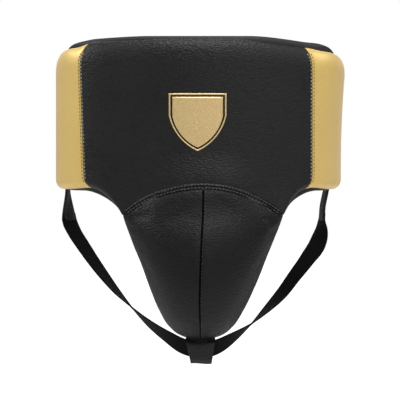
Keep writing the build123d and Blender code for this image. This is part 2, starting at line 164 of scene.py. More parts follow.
# The crotch loop: where it hangs, its leather, and its way round the strap as depth, height and width.
CROTCH_Y = -0.080
LOOP_LEATHER, LOOP_ROUNDING = 0.0017, 0.0007
LOOP_NECK, LOOP_FOOT = -0.2545, -0.2812  # heights
LOOP_ASIDE = (0.0006, 0.0008)  # how far right of the centre it hangs, and how much further at its foot
LOOP_BOW, LOOP_BOW_WIDE = 0.0005, 0.0047  # how far its leaves bow, and how quickly across them
LOOP_PATH = (
    (-0.0010, -0.2475, 0.0330),
    (-0.0010, -0.2530, 0.0340),
    (-0.0020, -0.2562, 0.0336),
    (-0.0036, -0.2595, 0.0325),
    (-0.0038, -0.2700, 0.0285),
    (-0.0034, -0.2775, 0.0256),
    (0.0000, -0.2812, 0.0243),
    (0.0034, -0.2775, 0.0256),
    (0.0038, -0.2700, 0.0285),
    (0.0036, -0.2595, 0.0325),
    (0.0020, -0.2562, 0.0336),
    (0.0010, -0.2530, 0.0340),
    (0.0010, -0.2475, 0.0330),
)

# Rear bands and closure, as depths inside the plan curve, thicknesses and corner radii.
BAND_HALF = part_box("rear_band_right")[1].z
BAND_MID, BAND_THICK = 0.0140, 0.0030
LOOP_PATCH = (0.0119, 0.0012, 0.004)
HOOK_PATCH = (0.0105, 0.0009, 0.010)
TAB_BASE_DEPTH, TAB_RISE, TAB_THICK = 0.0116, 0.0025, 0.0019
TAB_CORNER, BASE_CORNER = 0.022, 0.004
TAB_MID = 0.010  # the depth at which the tab's ends are measured

# Rows of stitches: how far outward of the hip seams, above the yoke seam and from the hip ends.
HIP_ROW, BELLY_ROW, YOKE_ROWS, END_ROWS = 0.0019, -0.0016, (0.0024, -0.0023), (0.006, 0.011)
TAB_ROW, PATCH_ROW, REAR_ROW = 0.0035, 0.0025, 0.0075  # and inside the edges of the other pieces
SEAM_SHADE_R, SEAM_SHADE_SUNK = 0.00048, 0.0003  # the dull dark tube lying in the front's seams, painted shade for their grooves
CLOSE = {"pitch": 0.0040, "length": 0.0025}  # the front's stitches
SEAM_THREAD_R, CENTRE_THREAD_R = 0.00040, 0.00034  # the thread beside its seams, and down the cup's middle
FINE = {"radius": 0.0003, "pitch": 0.0030, "length": 0.0020}  # the hangers'

# Leg strap: each station is a point and the turn of the webbing's face from straight ahead, in degrees.
STRAP_WIDE, STRAP_THICK = 0.020, 0.0016
HANGER_WIDE, HANGER_THICK = 0.018, 0.0034
LEFT_HANGER = (
    ((-0.1545, 0.006, -0.0580), 86),
    ((-0.1555, 0.006, -0.0760), 84),
    ((-0.1555, 0.006, -0.0880), 80),
    ((-0.1550, 0.006, -0.1030), 58),
    ((-0.1540, 0.004, -0.1200), 24),
)
RIGHT_HANGER = (
    ((0.1500, 0.006, -0.0580), -80),
    ((0.1470, 0.006, -0.0760), -78),
    ((0.1445, 0.006, -0.0880), -76),
    ((0.1415, 0.006, -0.1030), -76),
    ((0.1405, 0.004, -0.1200), -74),
)
LEFT_STRAP = (
    ((-0.1545, 0.0050, -0.1100), 44),
    ((-0.1532, 0.0038, -0.1205), 34),
    ((-0.1480, 0.0000, -0.1320), 40),
    ((-0.1385, -0.0070, -0.1465), 44),
    ((-0.1255, -0.0160, -0.1650), 50),
    ((-0.1110, -0.0270, -0.1840), 60),
    ((-0.0955, -0.0390, -0.2025), 74),
    ((-0.0790, -0.0510, -0.2190), 94),
    ((-0.0570, -0.0640, -0.2380), 116),
    ((-0.0370, -0.0745, -0.2515), 134),
    ((-0.0190, -0.0795, -0.2618), 154),
    ((0.0000, -0.0800, -0.2665), 176),
)
RIGHT_STRAP = (
    ((0.1415, 0.0055, -0.1100), -74),
    ((0.1400, 0.0038, -0.1205), -66),
    ((0.1395, 0.0010, -0.1310), -40),
    ((0.1355, -0.0050, -0.1460), -10),
    ((0.1230, -0.0150, -0.1645), -30),
    ((0.1080, -0.0270, -0.1840), -42),
    ((0.0940, -0.0380, -0.2025), -50),
    ((0.0770, -0.0510, -0.2205), -68),
    ((0.0580, -0.0640, -0.2380), -94),
    ((0.0380, -0.0745, -0.2520), -124),
    ((0.0190, -0.0795, -0.2625), -150),
    ((0.0000, -0.0800, -0.2672), -176),
)


# ---------------------------------------------------------------------------------------------------------
# The plan curve, by arc length s from the front centre. Positive s is on the right.


def outward(angle):
    """The outward normal at that direction, in degrees from straight ahead."""
    return np.array((sin(radians(angle)), -cos(radians(angle))))


def plan_segments():
    """Each arc as (centre, radius, start angle, end angle, arc length at its start)."""
    rows = []
    centre = np.array((0.0, FRONT_Y + PLAN_ARCS[0][0]))
    start = run = 0.0
    for number, (radius, end) in enumerate(PLAN_ARCS):
        if number:
            centre = centre + outward(start) * (PLAN_ARCS[number - 1][0] - radius)
        rows.append((centre, radius, start, end, run))
        run += radius * radians(end - start)
        start = end
    normal = outward(start)
    reached = rows[-1][0] + normal * rows[-1][1]
    radius = reached[0] / normal[0]
    rows.append((reached - normal * radius, radius, start, 360.0 - start, run))
    return rows


SEGMENTS = plan_segments()


def s_at_angle(angle):
    """The arc length at that direction."""
    for centre, radius, start, end, run in SEGMENTS:
        if angle <= end:
            return run + radius * radians(angle - start)


def plan_at(s):
    """The outer curve's point and outward normal at each arc length."""
    s = np.asarray(s, float)
    points, normals = np.zeros(s.shape + (2,)), np.zeros(s.shape + (2,))
    for centre, radius, start, end, run in SEGMENTS:
        angle = np.radians(start) + (np.abs(s) - run) / radius
        here = (np.abs(s) >= run) & (np.degrees(angle) <= end + 1e-6)
        normal = np.stack((np.sin(angle), -np.cos(angle)), -1)
        points[here] = (centre + normal * radius)[here]
        normals[here] = normal[here]
    side = np.where(s < 0, -1.0, 1.0)[..., None] * (1.0, 0.0) + (0.0, 1.0)
    return points * side, normals * side


def on_plan(s, depth, z):
    """Points at those arc lengths, depths inside the plan curve and heights."""
    points, normals = plan_at(s)
    flat = points - normals * np.asarray(depth)[..., None]
    return np.concatenate((flat, np.broadcast_to(z, s.shape)[..., None]), -1)


S_HIP = s_at_angle(HIP_END)
TABLE_S = np.linspace(0, s_at_angle(89.0), 600)
TABLE_X = plan_at(TABLE_S)[0][:, 0]


def s_at_x(x):
    """The arc length on the front half where the outer curve has that x."""
    return np.sign(x) * np.interp(np.abs(x), TABLE_X, TABLE_S)


def smooth(low, high, value):
    """A smooth step from 0 at low to 1 at high."""
    t = np.clip((np.asarray(value, float) - low) / (high - low), 0, 1)
    return t * t * (3 - 2 * t)


def leaned(points):
    """Those points moved by the body's lean, which fades out towards the hips."""
    points = np.array(points, float)
    heights, middles, edges = np.array(LEAN).T
    edge = smooth(*LEAN_EDGE, np.abs(points[..., 0]))
    shift = np.interp(points[..., 2], heights, middles) * (1 - edge)
    points[..., 0] += shift + np.interp(points[..., 2], heights, edges) * edge
    low = np.clip((TAPER_TOP - points[..., 2]) / TAPER_TALL, 0, 1)
    points[..., 0] -= RIGHT_TAPER * low * (2 - low) * smooth(*TAPER_X, points[..., 0])
    flare = np.where(points[..., 0] < 0, -HIP_FLARE[0], HIP_FLARE[1])
    points[..., 0] += flare * smooth(*FLARE_X, np.abs(points[..., 0]))
    return points


def ridge(value, middle, width):
    """A smooth ridge, 1 at the middle and fading out over the width on each side."""
    return np.exp(-(((value - middle) / width) ** 2))


def relief(distance, seam):
    """How deep the leather lies at that distance from a seam."""
    return sum(deep * ridge(distance, middle, width) for middle, width, deep in seam)


def unit(vectors):
    """Each row's direction."""
    return vectors / np.linalg.norm(vectors, axis=-1, keepdims=True)


def run_along(points):
    """How far along a line each of its points is."""
    return np.concatenate(([0], np.cumsum(np.linalg.norm(np.diff(points, axis=0), axis=1))))


def resampled(points, run, at):
    """The line's points at those distances along it."""
    return np.stack([np.interp(at, run, column) for column in points.T], -1)


def circle_through(a, b, c):
    """The centre and radius of the circle through three points."""
    (ax, ay), (bx, by), (cx, cy) = a, b, c
    d = 2 * (ax * (by - cy) + bx * (cy - ay) + cx * (ay - by))
    ux = (ax**2 + ay**2) * (by - cy) + (bx**2 + by**2) * (cy - ay) + (cx**2 + cy**2) * (ay - by)
    uy = (ax**2 + ay**2) * (cx - bx) + (bx**2 + by**2) * (ax - cx) + (cx**2 + cy**2) * (bx - ax)
    centre = (ux / d, uy / d)
    return centre, sqrt((ax - centre[0]) ** 2 + (ay - centre[1]) ** 2)


CUT_CENTRE, CUT_R = circle_through(*LEG_CUT)
YOKE_CENTRE, YOKE_R = circle_through((-LEG_CUT[2][0], LEG_CUT[2][1]), (0.0, YOKE_TOP), LEG_CUT[2])


def yoke_z(x):
    """Height of the seam between belly and cup."""
    return YOKE_CENTRE[1] + np.sqrt(np.maximum(YOKE_R**2 - np.asarray(x) ** 2, 0))


def bottom_z(x):
    """Height of the pads' lower edge."""
    ax = np.abs(np.asarray(x, float))
    cut = CUT_CENTRE[1] + np.sqrt(np.maximum(CUT_R**2 - (ax - CUT_CENTRE[0]) ** 2, 0))
    low = np.where(ax < LEG_CUT[2][0], yoke_z(x), cut)
    return np.where(ax > LEG_CUT[0][0], PAD_BOTTOM, low)


def top_z(x, edge):
    """Height of a pad's upper edge."""
    crown, level, drops, shoulders = edge
    x = np.asarray(x, float)
    drop, shoulder = (np.where(x < 0, *pair) for pair in (drops, shoulders))
    return crown - drop * smooth(level, DROP_END, np.abs(x)) - shoulder * smooth(*SHOULDER, np.abs(x))


# ---------------------------------------------------------------------------------------------------------
# Meshes


def mesh_object(name, points, faces):
    """A new smooth-shaded object from points and faces, normals outward."""
    data = bpy.data.meshes.new(name)
    data.from_pydata([tuple(p) for p in points], [], faces)
    data.validate()
    obj = bpy.data.objects.new(name, data)
    bpy.context.scene.collection.objects.link(obj)
    bm = bmesh.new()
    bm.from_mesh(data)
    bmesh.ops.recalc_face_normals(bm, faces=bm.faces)
    bm.to_mesh(data)
    bm.free()
    for polygon in data.polygons:
        polygon.use_smooth = True
    return obj


def grid_faces(rows, cols, closed_cols=False, offset=0):
    """Quads of a grid of points stored row by row."""
    faces = []
    for r in range(rows - 1):
        here = offset + r * cols
        for c in range(cols if closed_cols else cols - 1):
            n = (c + 1) % cols
            faces.append((here + c, here + n, here + cols + n, here + cols + c))
    return faces


def tube(name, rings):
    """A closed form lofted through rings, each the same number of points round."""
    rings = np.asarray(rings, float)
    rows, cols = rings.shape[:2]
    faces = grid_faces(rows, cols, closed_cols=True)
    for ring, turn in ((0, 1), (rows - 1, -1)):
        base = ring * cols
        for c in range(cols // 2 - 1):
            quad = [base + c, base + c + 1, base + (cols - 2 - c), base + (cols - 1 - c)]
            faces.append(tuple(quad[::turn]))
    return mesh_object(name, rings.reshape(-1, 3), faces)


def sheet_mesh(name, grid):
    """An open sheet from a grid of points."""
    grid = np.asarray(grid, float)
    rows, cols = grid.shape[:2]
    return mesh_object(name, grid.reshape(-1, 3), grid_faces(rows, cols))


def coords(obj):
    """The object's vertices as an array."""
    out = np.zeros(len(obj.data.vertices) * 3)
    obj.data.vertices.foreach_get("co", out)
    return out.reshape(-1, 3)


def set_coords(obj, points):
    """Moves the object's vertices."""
    obj.data.vertices.foreach_set("co", np.asarray(points, float).ravel())
    obj.data.update()


def apply_modifiers(obj):
    """Makes the object's evaluated mesh its own, with no modifiers left."""
    graph = bpy.context.evaluated_depsgraph_get()
    final = bpy.data.meshes.new_from_object(obj.evaluated_get(graph))
    obj.modifiers.clear()
    obj.data = final
    return obj


def subdivide(obj):
    """Rounds the mesh off with one level of subdivision."""
    modifier = obj.modifiers.new("Subdivision", "SUBSURF")
    modifier.levels = modifier.render_levels = 1
    return apply_modifiers(obj)


def thicken(obj, thick):
    """Gives a sheet its thickness, inward."""
    modifier = obj.modifiers.new("Solidify", "SOLIDIFY")
    modifier.thickness = thick
    modifier.offset = -1
    return apply_modifiers(obj)


def tree_of(*objs):
    """A search tree over several final meshes."""
    points, faces = [], []
    for obj in objs:
        base = len(points)
        points += [v.co.copy() for v in obj.data.vertices]
        faces += [tuple(base + i for i in p.vertices) for p in obj.data.polygons]
    return BVHTree.FromPolygons(points, faces)


def inflate(obj, pinned, pressure, swell, cap, stiffness, bending):
    """Puffs a padded form with Cloth: pinned is 1 where a point is held; no point moves further than cap."""
    start = coords(obj)
    group = obj.vertex_groups.new(name="pins")
    group.add(np.flatnonzero(pinned).tolist(), 1.0, "REPLACE")
    modifier = obj.modifiers.new("Cloth", "CLOTH")
    cloth = modifier.settings
    cloth.quality = 6
    cloth.mass = 0.25
    cloth.tension_stiffness = cloth.compression_stiffness = stiffness
    cloth.shear_stiffness = stiffness / 2
    cloth.bending_stiffness = bending
    cloth.tension_damping = cloth.compression_damping = 15
    cloth.air_damping = 4
    cloth.vertex_group_mass = "pins"
    cloth.pin_stiffness = 1.0
    cloth.use_pressure = True
    cloth.uniform_pressure_force = pressure
    cloth.shrink_min = cloth.shrink_max = -swell
    cloth.effector_weights.gravity = 0
    modifier.collision_settings.use_collision = False
    modifier.point_cache.frame_start = 1
    modifier.point_cache.frame_end = PUFF_FRAMES + 1
    scene = bpy.context.scene
    for number in range(1, PUFF_FRAMES + 1):
        scene.frame_set(number)
    apply_modifiers(obj)
    scene.frame_set(1)
    moved = coords(obj) - start
    length = np.linalg.norm(moved, axis=1, keepdims=True)
    moved *= np.minimum(1, cap / np.maximum(length, 1e-9))
    set_coords(obj, start + moved)
    obj.vertex_groups.clear()
    return obj


# ---------------------------------------------------------------------------------------------------------
# Materials


class Nodes:
    """A material's node tree with short ways to add and join nodes."""

    def __init__(self, name):
        self.material = bpy.data.materials.new(name)
        self.material.use_nodes = True
        self.tree = self.material.node_tree
        self.shader = self.tree.nodes["Principled BSDF"]

    def add(self, kind, **values):
        """A new node with those settings or unlinked inputs."""
        node = self.tree.nodes.new(kind)
        for key, value in values.items():
            if hasattr(node, key):
                setattr(node, key, value)
            else:
                node.inputs[key.replace("_", " ")].default_value = value
        return node

    def link(self, source, target):
        self.tree.links.new(source, target)

    def set(self, **values):
        """Values that are the same all over the surface."""
        for key, value in values.items():
            self.shader.inputs[key.replace("_", " ")].default_value = value

    def finish(self, colour=None, roughness=None, normal=None):
        """Joins what varies over the surface to the shader."""
        for source, socket in ((colour, "Base Color"), (roughness, "Roughness"), (normal, "Normal")):
            if source:
                self.link(source, self.shader.inputs[socket])

    def place(self, scale=(1, 1, 1), kind="Object"):
        """Coordinates in the object's own space, scaled."""
        where = self.add("ShaderNodeTexCoord")
        mapping = self.add("ShaderNodeMapping")
        mapping.inputs["Scale"].default_value = scale
        self.link(where.outputs[kind], mapping.inputs["Vector"])
        return mapping.outputs["Vector"]

    def mixed(self, a, b, part, of_b=None):
        """That part of a, plus of_b of b, or else the rest of b."""
        return self.math("ADD", self.math("MULTIPLY", a, part), self.math("MULTIPLY", b, of_b or 1 - part))

    def noise(self, vector, scale, detail=3.0, roughness=0.55):
        """A noise texture's height at those coordinates."""
        node = self.add("ShaderNodeTexNoise", Scale=scale, Detail=detail, Roughness=roughness)
        self.link(vector, node.inputs["Vector"])
        return node.outputs["Fac"]

    def ramp(self, source, *stops):
        """A colour ramp from (position, colour or grey) stops."""
        node = self.add("ShaderNodeValToRGB")
        elements = node.color_ramp.elements
        for number, (position, colour) in enumerate(stops):
            element = elements[number] if number < 2 else elements.new(position)
            element.position = position
            element.color = colour if hasattr(colour, "__len__") else (colour, colour, colour, 1)
        self.link(source, node.inputs["Fac"])
        return node.outputs["Color"]

    def math(self, operation, a, b):
        """The outcome of a sum on two sockets or numbers."""
        node = self.add("ShaderNodeMath", operation=operation)
        for socket, value in zip(node.inputs, (a, b)):
            if isinstance(value, (int, float)):
                socket.default_value = value
            else:
                self.link(value, socket)
        return node.outputs[0]

    def bump(self, height, distance, after=None):
        """A bump of that height in metres, added to the one before it."""
        node = self.add("ShaderNodeBump", Strength=1.0, Distance=distance)
        self.link(height, node.inputs["Height"])
        if after:
            self.link(after, node.inputs["Normal"])
        return node.outputs["Normal"]


WAVE = tau / 20  # a wave texture of scale 1 repeats at this distance


def leather(name, dark, light, rough=(0.42, 0.54), grain=0.00036, crease=0.00034, **look):
    """Grained artificial leather: shallow pebbles wider than tall, slow creases and slow blotches."""
    n = Nodes(name)
    place = n.place()
    wide = n.place((0.50, 0.70, 1.0))
    warp = n.add("ShaderNodeTexNoise", Scale=180.0, Detail=2.0)
    n.link(wide, warp.inputs["Vector"])
    mixed = n.add("ShaderNodeVectorMath", operation="MULTIPLY_ADD")
    n.link(warp.outputs["Color"], mixed.inputs[0])
    mixed.inputs[1].default_value = (0.0022, 0.0022, 0.0022)
    n.link(wide, mixed.inputs[2])
    cells = n.add("ShaderNodeTexVoronoi", feature="SMOOTH_F1", Scale=580.0, Smoothness=0.35, Randomness=0.95)
    n.link(mixed.outputs[0], cells.inputs["Vector"])
    pebble = n.ramp(cells.outputs["Distance"], (0.15, 1.0), (0.85, 0.0))
    folds = n.noise(n.place((0.35, 0.6, 1.0)), 150.0, 4.0, 0.60)
    fine = n.noise(place, 1500.0, 2.0)
    slow = n.noise(place, 14.0, 3.0)
    # The colour follows slow random blotches and the pebbles' height, so the valleys between pebbles are
    # darker: painted shade in the grain.
    colour = n.ramp(n.mixed(slow, pebble, 0.6), (0.25, dark), (0.80, light))
    gloss = n.ramp(n.mixed(slow, fine, 0.6), (0.3, rough[0]), (0.7, rough[1]))
    n.finish(colour, gloss, n.bump(pebble, grain, n.bump(folds, crease)))
    n.set(**look)
    return n.material


def shade(colour, times):
    """That colour, that many times as bright."""
    return tuple(times * c for c in colour[:3]) + (1,)


def woven(name, colour, rib_pitch, pick_pitch, depth, sheen=0.12):
    """Woven elastic: ribs along its length crossed by finer picks, by the sheet's own flat coordinates."""
    n = Nodes(name)
    place = n.place(kind="UV")
    uneven = {"wave_type": "BANDS", "Distortion": 0.6, "Detail": 1.0, "Detail_Scale": 0.6}
    ribs = n.add("ShaderNodeTexWave", bands_direction="Y", Scale=WAVE / rib_pitch, **uneven)
    picks = n.add("ShaderNodeTexWave", bands_direction="X", Scale=WAVE / pick_pitch, **uneven)
    for wave in (ribs, picks):
        n.link(place, wave.inputs["Vector"])
    crossed = n.math("ADD", n.math("MULTIPLY", picks.outputs["Fac"], 0.6), 0.4)
    weave = n.math("MULTIPLY", ribs.outputs["Fac"], crossed)
    fuzz = n.noise(n.place(), 1500.0, 2.0)
    tone = n.ramp(n.mixed(weave, fuzz, 0.75), (0.1, colour), (0.95, shade(colour, 2.4)))
    n.finish(tone, normal=n.bump(fuzz, depth * 0.25, n.bump(weave, depth)))
    n.set(Roughness=0.85, Sheen_Weight=sheen, Sheen_Roughness=0.5, Specular_IOR_Level=0.12)
    return n.material


def pile(name, colour, size, depth):
    """Hook or loop pile: a rough field of tiny tufts."""
    n = Nodes(name)
    place = n.place()
    tufts = n.add("ShaderNodeTexVoronoi", feature="F1", Scale=1 / size, Randomness=0.8)
    n.link(place, tufts.inputs["Vector"])
    height = tufts.outputs["Distance"]
    n.finish(n.ramp(height, (0.0, shade(colour, 3)), (0.8, colour)), normal=n.bump(height, depth))
    n.set(Roughness=0.95, Sheen_Weight=0.2, Specular_IOR_Level=0.15)
    return n.material


def foil(name):
    """Gold foil transfer: a sparkling, slightly crazed film."""
    n = Nodes(name)
    place = n.place()
    flakes = n.add("ShaderNodeTexVoronoi", feature="F1", Scale=1500.0, Randomness=1.0)
    n.link(place, flakes.inputs["Vector"])
    grains = n.noise(place, 700.0, 3.0, 0.7)
    tone = n.mixed(grains, flakes.outputs["Distance"], 0.7, 0.4)
    colour = n.ramp(tone, (0.25, (0.55, 0.36, 0.13, 1)), (0.75, (0.90, 0.68, 0.34, 1)))
    n.finish(colour, n.ramp(grains, (0.3, 0.34), (0.7, 0.55)), n.bump(tone, 0.00006))
    n.set(Metallic=0.55, Specular_IOR_Level=0.5)
    return n.material


def thread(name, colour, shine=0.5, sheen=0.2):
    """Polyester thread: a fine twist along each stitch."""
    n = Nodes(name)
    twist = n.add("ShaderNodeTexWave", wave_type="BANDS", bands_direction="DIAGONAL", Scale=900.0)
    n.link(n.place(), twist.inputs["Vector"])
    ply = twist.outputs["Fac"]
    n.finish(n.ramp(ply, (0.2, colour), (0.9, shade(colour, 1.9))), normal=n.bump(ply, 0.0001))
    n.set(Roughness=0.5, Sheen_Weight=sheen, Specular_IOR_Level=shine)
    return n.material


def moulded(name, colour):
    """Injection-moulded polypropylene with a spark-eroded texture."""
    n = Nodes(name)
    place = n.place()
    fine = n.noise(place, 1800.0, 2.0)
    tone = n.ramp(n.noise(place, 20.0), (0.3, colour), (0.7, shade(colour, 0.9)))
    n.finish(tone, n.ramp(fine, (0.3, 0.4), (0.7, 0.55)), n.bump(fine, 0.00005))
    return n.material


DULL = {"Specular_IOR_Level": 0.30}
BLACK = leather("black_leather", (0.0045, 0.0045, 0.0048, 1), (0.0095, 0.0095, 0.0100, 1), **DULL)
# The cup's panels are the same black leather, given a darker colour and less gloss so the cup's flanks look
# shaded: painted shade.
CUP_PAINTED_SHADE_LOOK = {"crease": 0.00028, "Specular_IOR_Level": 0.20}
CUP_PAINTED_SHADE_LEATHER = leather("cup_painted_shade_leather", (0.0042, 0.0042, 0.0045, 1), (0.0088, 0.0088, 0.0093, 1), **CUP_PAINTED_SHADE_LOOK)
GOLD = leather(
    "gold_leather",
    (0.69, 0.478, 0.130, 1),
    (0.75, 0.533, 0.165, 1),
    (0.36, 0.46),
    0.00003,
    0.00004,
    Metallic=0.20,
    Specular_IOR_Level=0.45,
    Sheen_Weight=0.40,
    Sheen_Roughness=0.45,
    Sheen_Tint=(1.0, 0.84, 0.76, 1),
)
# The crotch loop is the same black leather, made lighter to stand for the light on its forward-facing face:
# painted light.
LIT_CROTCH_LEATHER = leather("crotch_leather_painted_light", (0.0095, 0.0095, 0.0098, 1), (0.0150, 0.0150, 0.0155, 1), **DULL)
LINING = leather("lining_leather", (0.009, 0.009, 0.0095, 1), (0.013, 0.013, 0.014, 1), (0.5, 0.62), 0.00010)
ELASTIC = woven("band_elastic", (0.006, 0.006, 0.0065, 1), 0.0022, 0.0011, 0.0003)
WEBBING = woven("strap_elastic", (0.0020, 0.0020, 0.0022, 1), 0.0014, 0.0009, 0.0002, 0.02)
LOOP = pile("loop_pile", (0.008, 0.008, 0.009, 1), 0.0011, 0.0005)
HOOK = pile("hook_pile", (0.010, 0.010, 0.011, 1), 0.0016, 0.0006)
FOIL = foil("gold_foil")
DARK_THREAD = thread("dark_thread", (0.016, 0.013, 0.009, 1))
# Black thread given a grey colour, lighter than the leather, so its stitches show as light dots: painted
# highlight.
THREAD_PAINTED_HIGHLIGHT = thread("thread_with_painted_highlight", (0.050, 0.050, 0.052, 1))
# The belly's side stitches are black thread coloured pale tan to stand for the light they reflect: painted
# reflection.
THREAD_PAINTED_REFLECTION = thread("thread_with_painted_reflection", (0.420, 0.370, 0.290, 1))
# Near-black and without gloss, for the tube laid in the seams: painted shade.
SEAM_PAINTED_SHADE = thread("painted_seam_shade", (0.0012, 0.0012, 0.0012, 1), 0.04, 0.0)
PLASTIC = moulded("cup_polypropylene", (0.62, 0.62, 0.60, 1))
FOAM = pile("padding_foam", (0.16, 0.16, 0.165, 1), 0.0012, 0.0003)


def dress(obj, material):
    """Gives a piece its material."""
    obj.data.materials.clear()
    obj.data.materials.append(material)
    for polygon in obj.data.polygons:
        polygon.material_index = 0
    return obj


# ---------------------------------------------------------------------------------------------------------
# The padded front and its rear pad


EDGE_ROWS = (0.0008, 0.0017, 0.0028, 0.0042, 0.0062)  # rows close together beside the lower edge
FACE_ROWS = 54  # and evenly spaced ones above them


def quarter(count):
    """Angles of a rounded edge, from 0 to a right angle."""
    return np.linspace(0, pi / 2, count)


def seam_shift(s, z):
    """How far the hip seam on that side curves inward at those heights."""
    top, low_left, low_right = SEAM_CURL
    left = np.asarray(s) < 0
    low = np.where(left, low_left, low_right)
    slant = np.where(left, SEAM_SLANT, 0) * (z - SEAM_LEVEL)
    return top * smooth(*CURL_TOP, z) + low * (1 - smooth(*CURL_LOW, z)) - slant


def past_seam(s):
    """How far outward of its hip seam each arc length is."""
    return np.where(s < 0, S_LEFT - s, s - S_RIGHT)


def faded(taper, from_end):
    """One taper's amount at those distances from the hip end."""
    amount, start = taper
    return amount * (1 - smooth(0, start, from_end))


def pad_loops(top, outer, rolls, end_r, fall, bends=False, hangs=0.0, lift=0.0):
    """Heights and depths of a pad's rows at each column, round its front, top, back and bottom.

    The rows of the face that shows come first, and their number is returned too. That face lies at outer
    and has the rounded edges; the other one lies flat at MID_DEPTH. bends: the columns follow the seams.
    """
    s, inner = COLUMNS, MID_DEPTH
    x = plan_at(s)[0][:, 0]
    from_end = S_HIP - np.abs(s)
    corners = []
    for corner in (HIP_CORNER_TOP, HIP_CORNER_LOW):
        corners.append(corner * (1 - np.sqrt(1 - np.clip((corner - from_end) / corner, 0, 1) ** 2)))
    hip = smooth(*HIP_START, past_seam(s))
    yoke = 1 - smooth(*YOKE_END, np.abs(x))
    top_d = rolls[1] - HIP_ROLL_THIN * hip * bends
    low_d = top_d * (1 - yoke) + YOKE_ROLL[1] * yoke
    top_r = rolls[0] + (TOP_ROLL + HIP_ROLL_TOP * hip) * bends
    low_r = (rolls[0] + HIP_ROLL_LOW * hip) * (1 - yoke) + YOKE_ROLL[0] * yoke
    x_top = plan_at(warped(s, top[0]) if bends else s)[0][:, 0]
    high = top_z(x_top, top) - corners[0] - faded(fall, from_end)
    x_low = on_plan(warped(s, PAD_BOTTOM) if bends else s, min(outer, inner) + 0.7 * low_d, 0.0)[:, 0]
    low = bottom_z(x_low) + corners[1] + faded(LOW_RISE, from_end) - hangs * smooth(*HANG_START, np.abs(x))
    low = low + lift * smooth(*LIFT_START, np.abs(x)) * (1 - smooth(*LIFT_END, np.abs(x)))
    sign = np.sign(inner - outer)
    face, back = np.full_like(s, outer), np.full_like(s, inner)
    rows = []
    for angle in quarter(7):
        rows.append((low + low_r * (1 - cos(angle)), face + sign * low_d * (1 - sin(angle))))
    for step in EDGE_ROWS:
        rows.append((low + low_r + step, face))
    start = low + low_r + EDGE_ROWS[-1]
    for t in np.linspace(0, 1, FACE_ROWS + 2)[1:-1]:
        rows.append((start + (high - top_r - start) * t, face))
    for angle in quarter(8)[::-1]:
        rows.append((high - top_r * (1 - cos(angle)), face + sign * top_d * (1 - sin(angle))))
    front = len(rows)
    for angle in quarter(4)[1:]:
        rows.append((high - BACK_ROLL * (1 - cos(angle)), back - sign * BACK_ROLL * (1 - sin(angle))))
    for t in np.linspace(0, 1, front - 6):
        rows.append((high - BACK_ROLL + (low - high + 2 * BACK_ROLL) * t, back))
    for angle in quarter(4)[:0:-1]:
        rows.append((low + BACK_ROLL * (1 - cos(angle)), back - sign * BACK_ROLL * (1 - sin(angle))))
    height, depth = np.array(rows).transpose(1, 0, 2)
    thick = 0.08 + 0.92 * np.sqrt(1 - np.clip((end_r - from_end) / end_r, 0, 1) ** 2)
    return height, inner + (depth - inner) * thick, front


def yoke_bulge(x):
    """How far forward of the plan curve the belly's lower edge swells at each x."""
    return YOKE_BULGE * (1 - smooth(*BULGE_END, np.abs(x)))


def face_columns():
    """Arc lengths of the pads' columns, closer together at the leg cuts, the hip seams and the ends."""
    near = np.array((0.0, 0.0007, 0.0016, 0.0027, 0.0042))
    halves = []
    for seam in (-S_LEFT, S_RIGHT):
        stops = [0.0, s_at_x(0.082), s_at_x(0.108), seam - 0.0065, seam + 0.0065, S_HIP - 0.018, S_HIP]
        counts = [27, 18, 7, 0, 26, 13]
        runs = [np.linspace(a, b, n, endpoint=False) for a, b, n in zip(stops, stops[1:], counts) if n]
        halves.append(np.sort(np.concatenate((*runs, seam + near, seam - near[1:], [S_HIP]))))
    return np.concatenate((-halves[0][::-1], halves[1][1:]))


S_LEFT, S_RIGHT = s_at_x(SEAM_LEFT), s_at_x(SEAM_RIGHT)
COLUMNS = face_columns()


def warped(s, z):
    """Columns bent so that the seam's column follows the seam."""
    near = 1 - smooth(0.0, 0.055, np.abs(past_seam(s)))
    return s - np.sign(s) * seam_shift(s, z) * near


def front_pad():
    """The whole front pad as one closed form, puffed, with the hip seams sunk in."""
    height, depth, front = pad_loops(
        FRONT_EDGE, FACE_DEPTH, FRONT_ROLLS, FRONT_END_R, FRONT_FALL, bends=True, lift=SEAM_LIFT
    )
    s = warped(np.broadcast_to(COLUMNS, height.shape), height)
    from_seam = np.abs(past_seam(COLUMNS))
    showing = (np.arange(len(height)) < front)[:, None]
    x = plan_at(COLUMNS)[0][:, 0]
    above = height - bottom_z(x)
    yoke = 1 - smooth(*RELIEF_END, np.abs(x))
    sunk = relief(from_seam, HIP_RELIEF) + yoke * relief(above, YOKE_RELIEF)
    depth = depth + showing * (sunk - yoke_bulge(x) * (1 - smooth(*BULGE_TALL, above)))
    rings = leaned(on_plan(s, depth, height).transpose(1, 0, 2))
    pad = tube("front_pad", rings)
    pins = np.zeros((len(COLUMNS), len(height)))
    pins[:, front:] = 1
    pins[:, :2] = 1
    pins[:, front - 2 : front] = 1
    pins[from_seam < SEAM_HELD, :] = 1
    pins[[0, -1], :] = 1
    inflate(pad, pins.ravel(), **FRONT_PUFF)
    return pad


def build_front():
    """Belly panel and gold hip panels, cut from one puffed pad along the hip seams."""
    pad = front_pad()
    points = coords(pad).reshape(len(COLUMNS), -1, 3)
    left, right = (int(np.argmin(np.abs(COLUMNS - seam))) for seam in (S_LEFT, S_RIGHT))
    end = len(COLUMNS) - 1
    pieces = {}
    for name, first, last, material, slot, nodes in (
        ("belly_panel", left, right, BLACK, "leather_black", ("belly_cover", "belly_foam")),
        ("hip_panel_left", 0, left, GOLD, "leather_gold", ("hip_cover_left", "hip_foam_left")),
        ("hip_panel_right", right, end, GOLD, "leather_gold", ("hip_cover_right", "hip_foam_right")),
    ):
        piece = tube(name, points[first : last + 1])
        subdivide(piece)
        dress(piece, material)
        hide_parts(*nodes)
        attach(piece, "root")
        pieces[name] = piece
    bpy.data.objects.remove(pad)
    return pieces


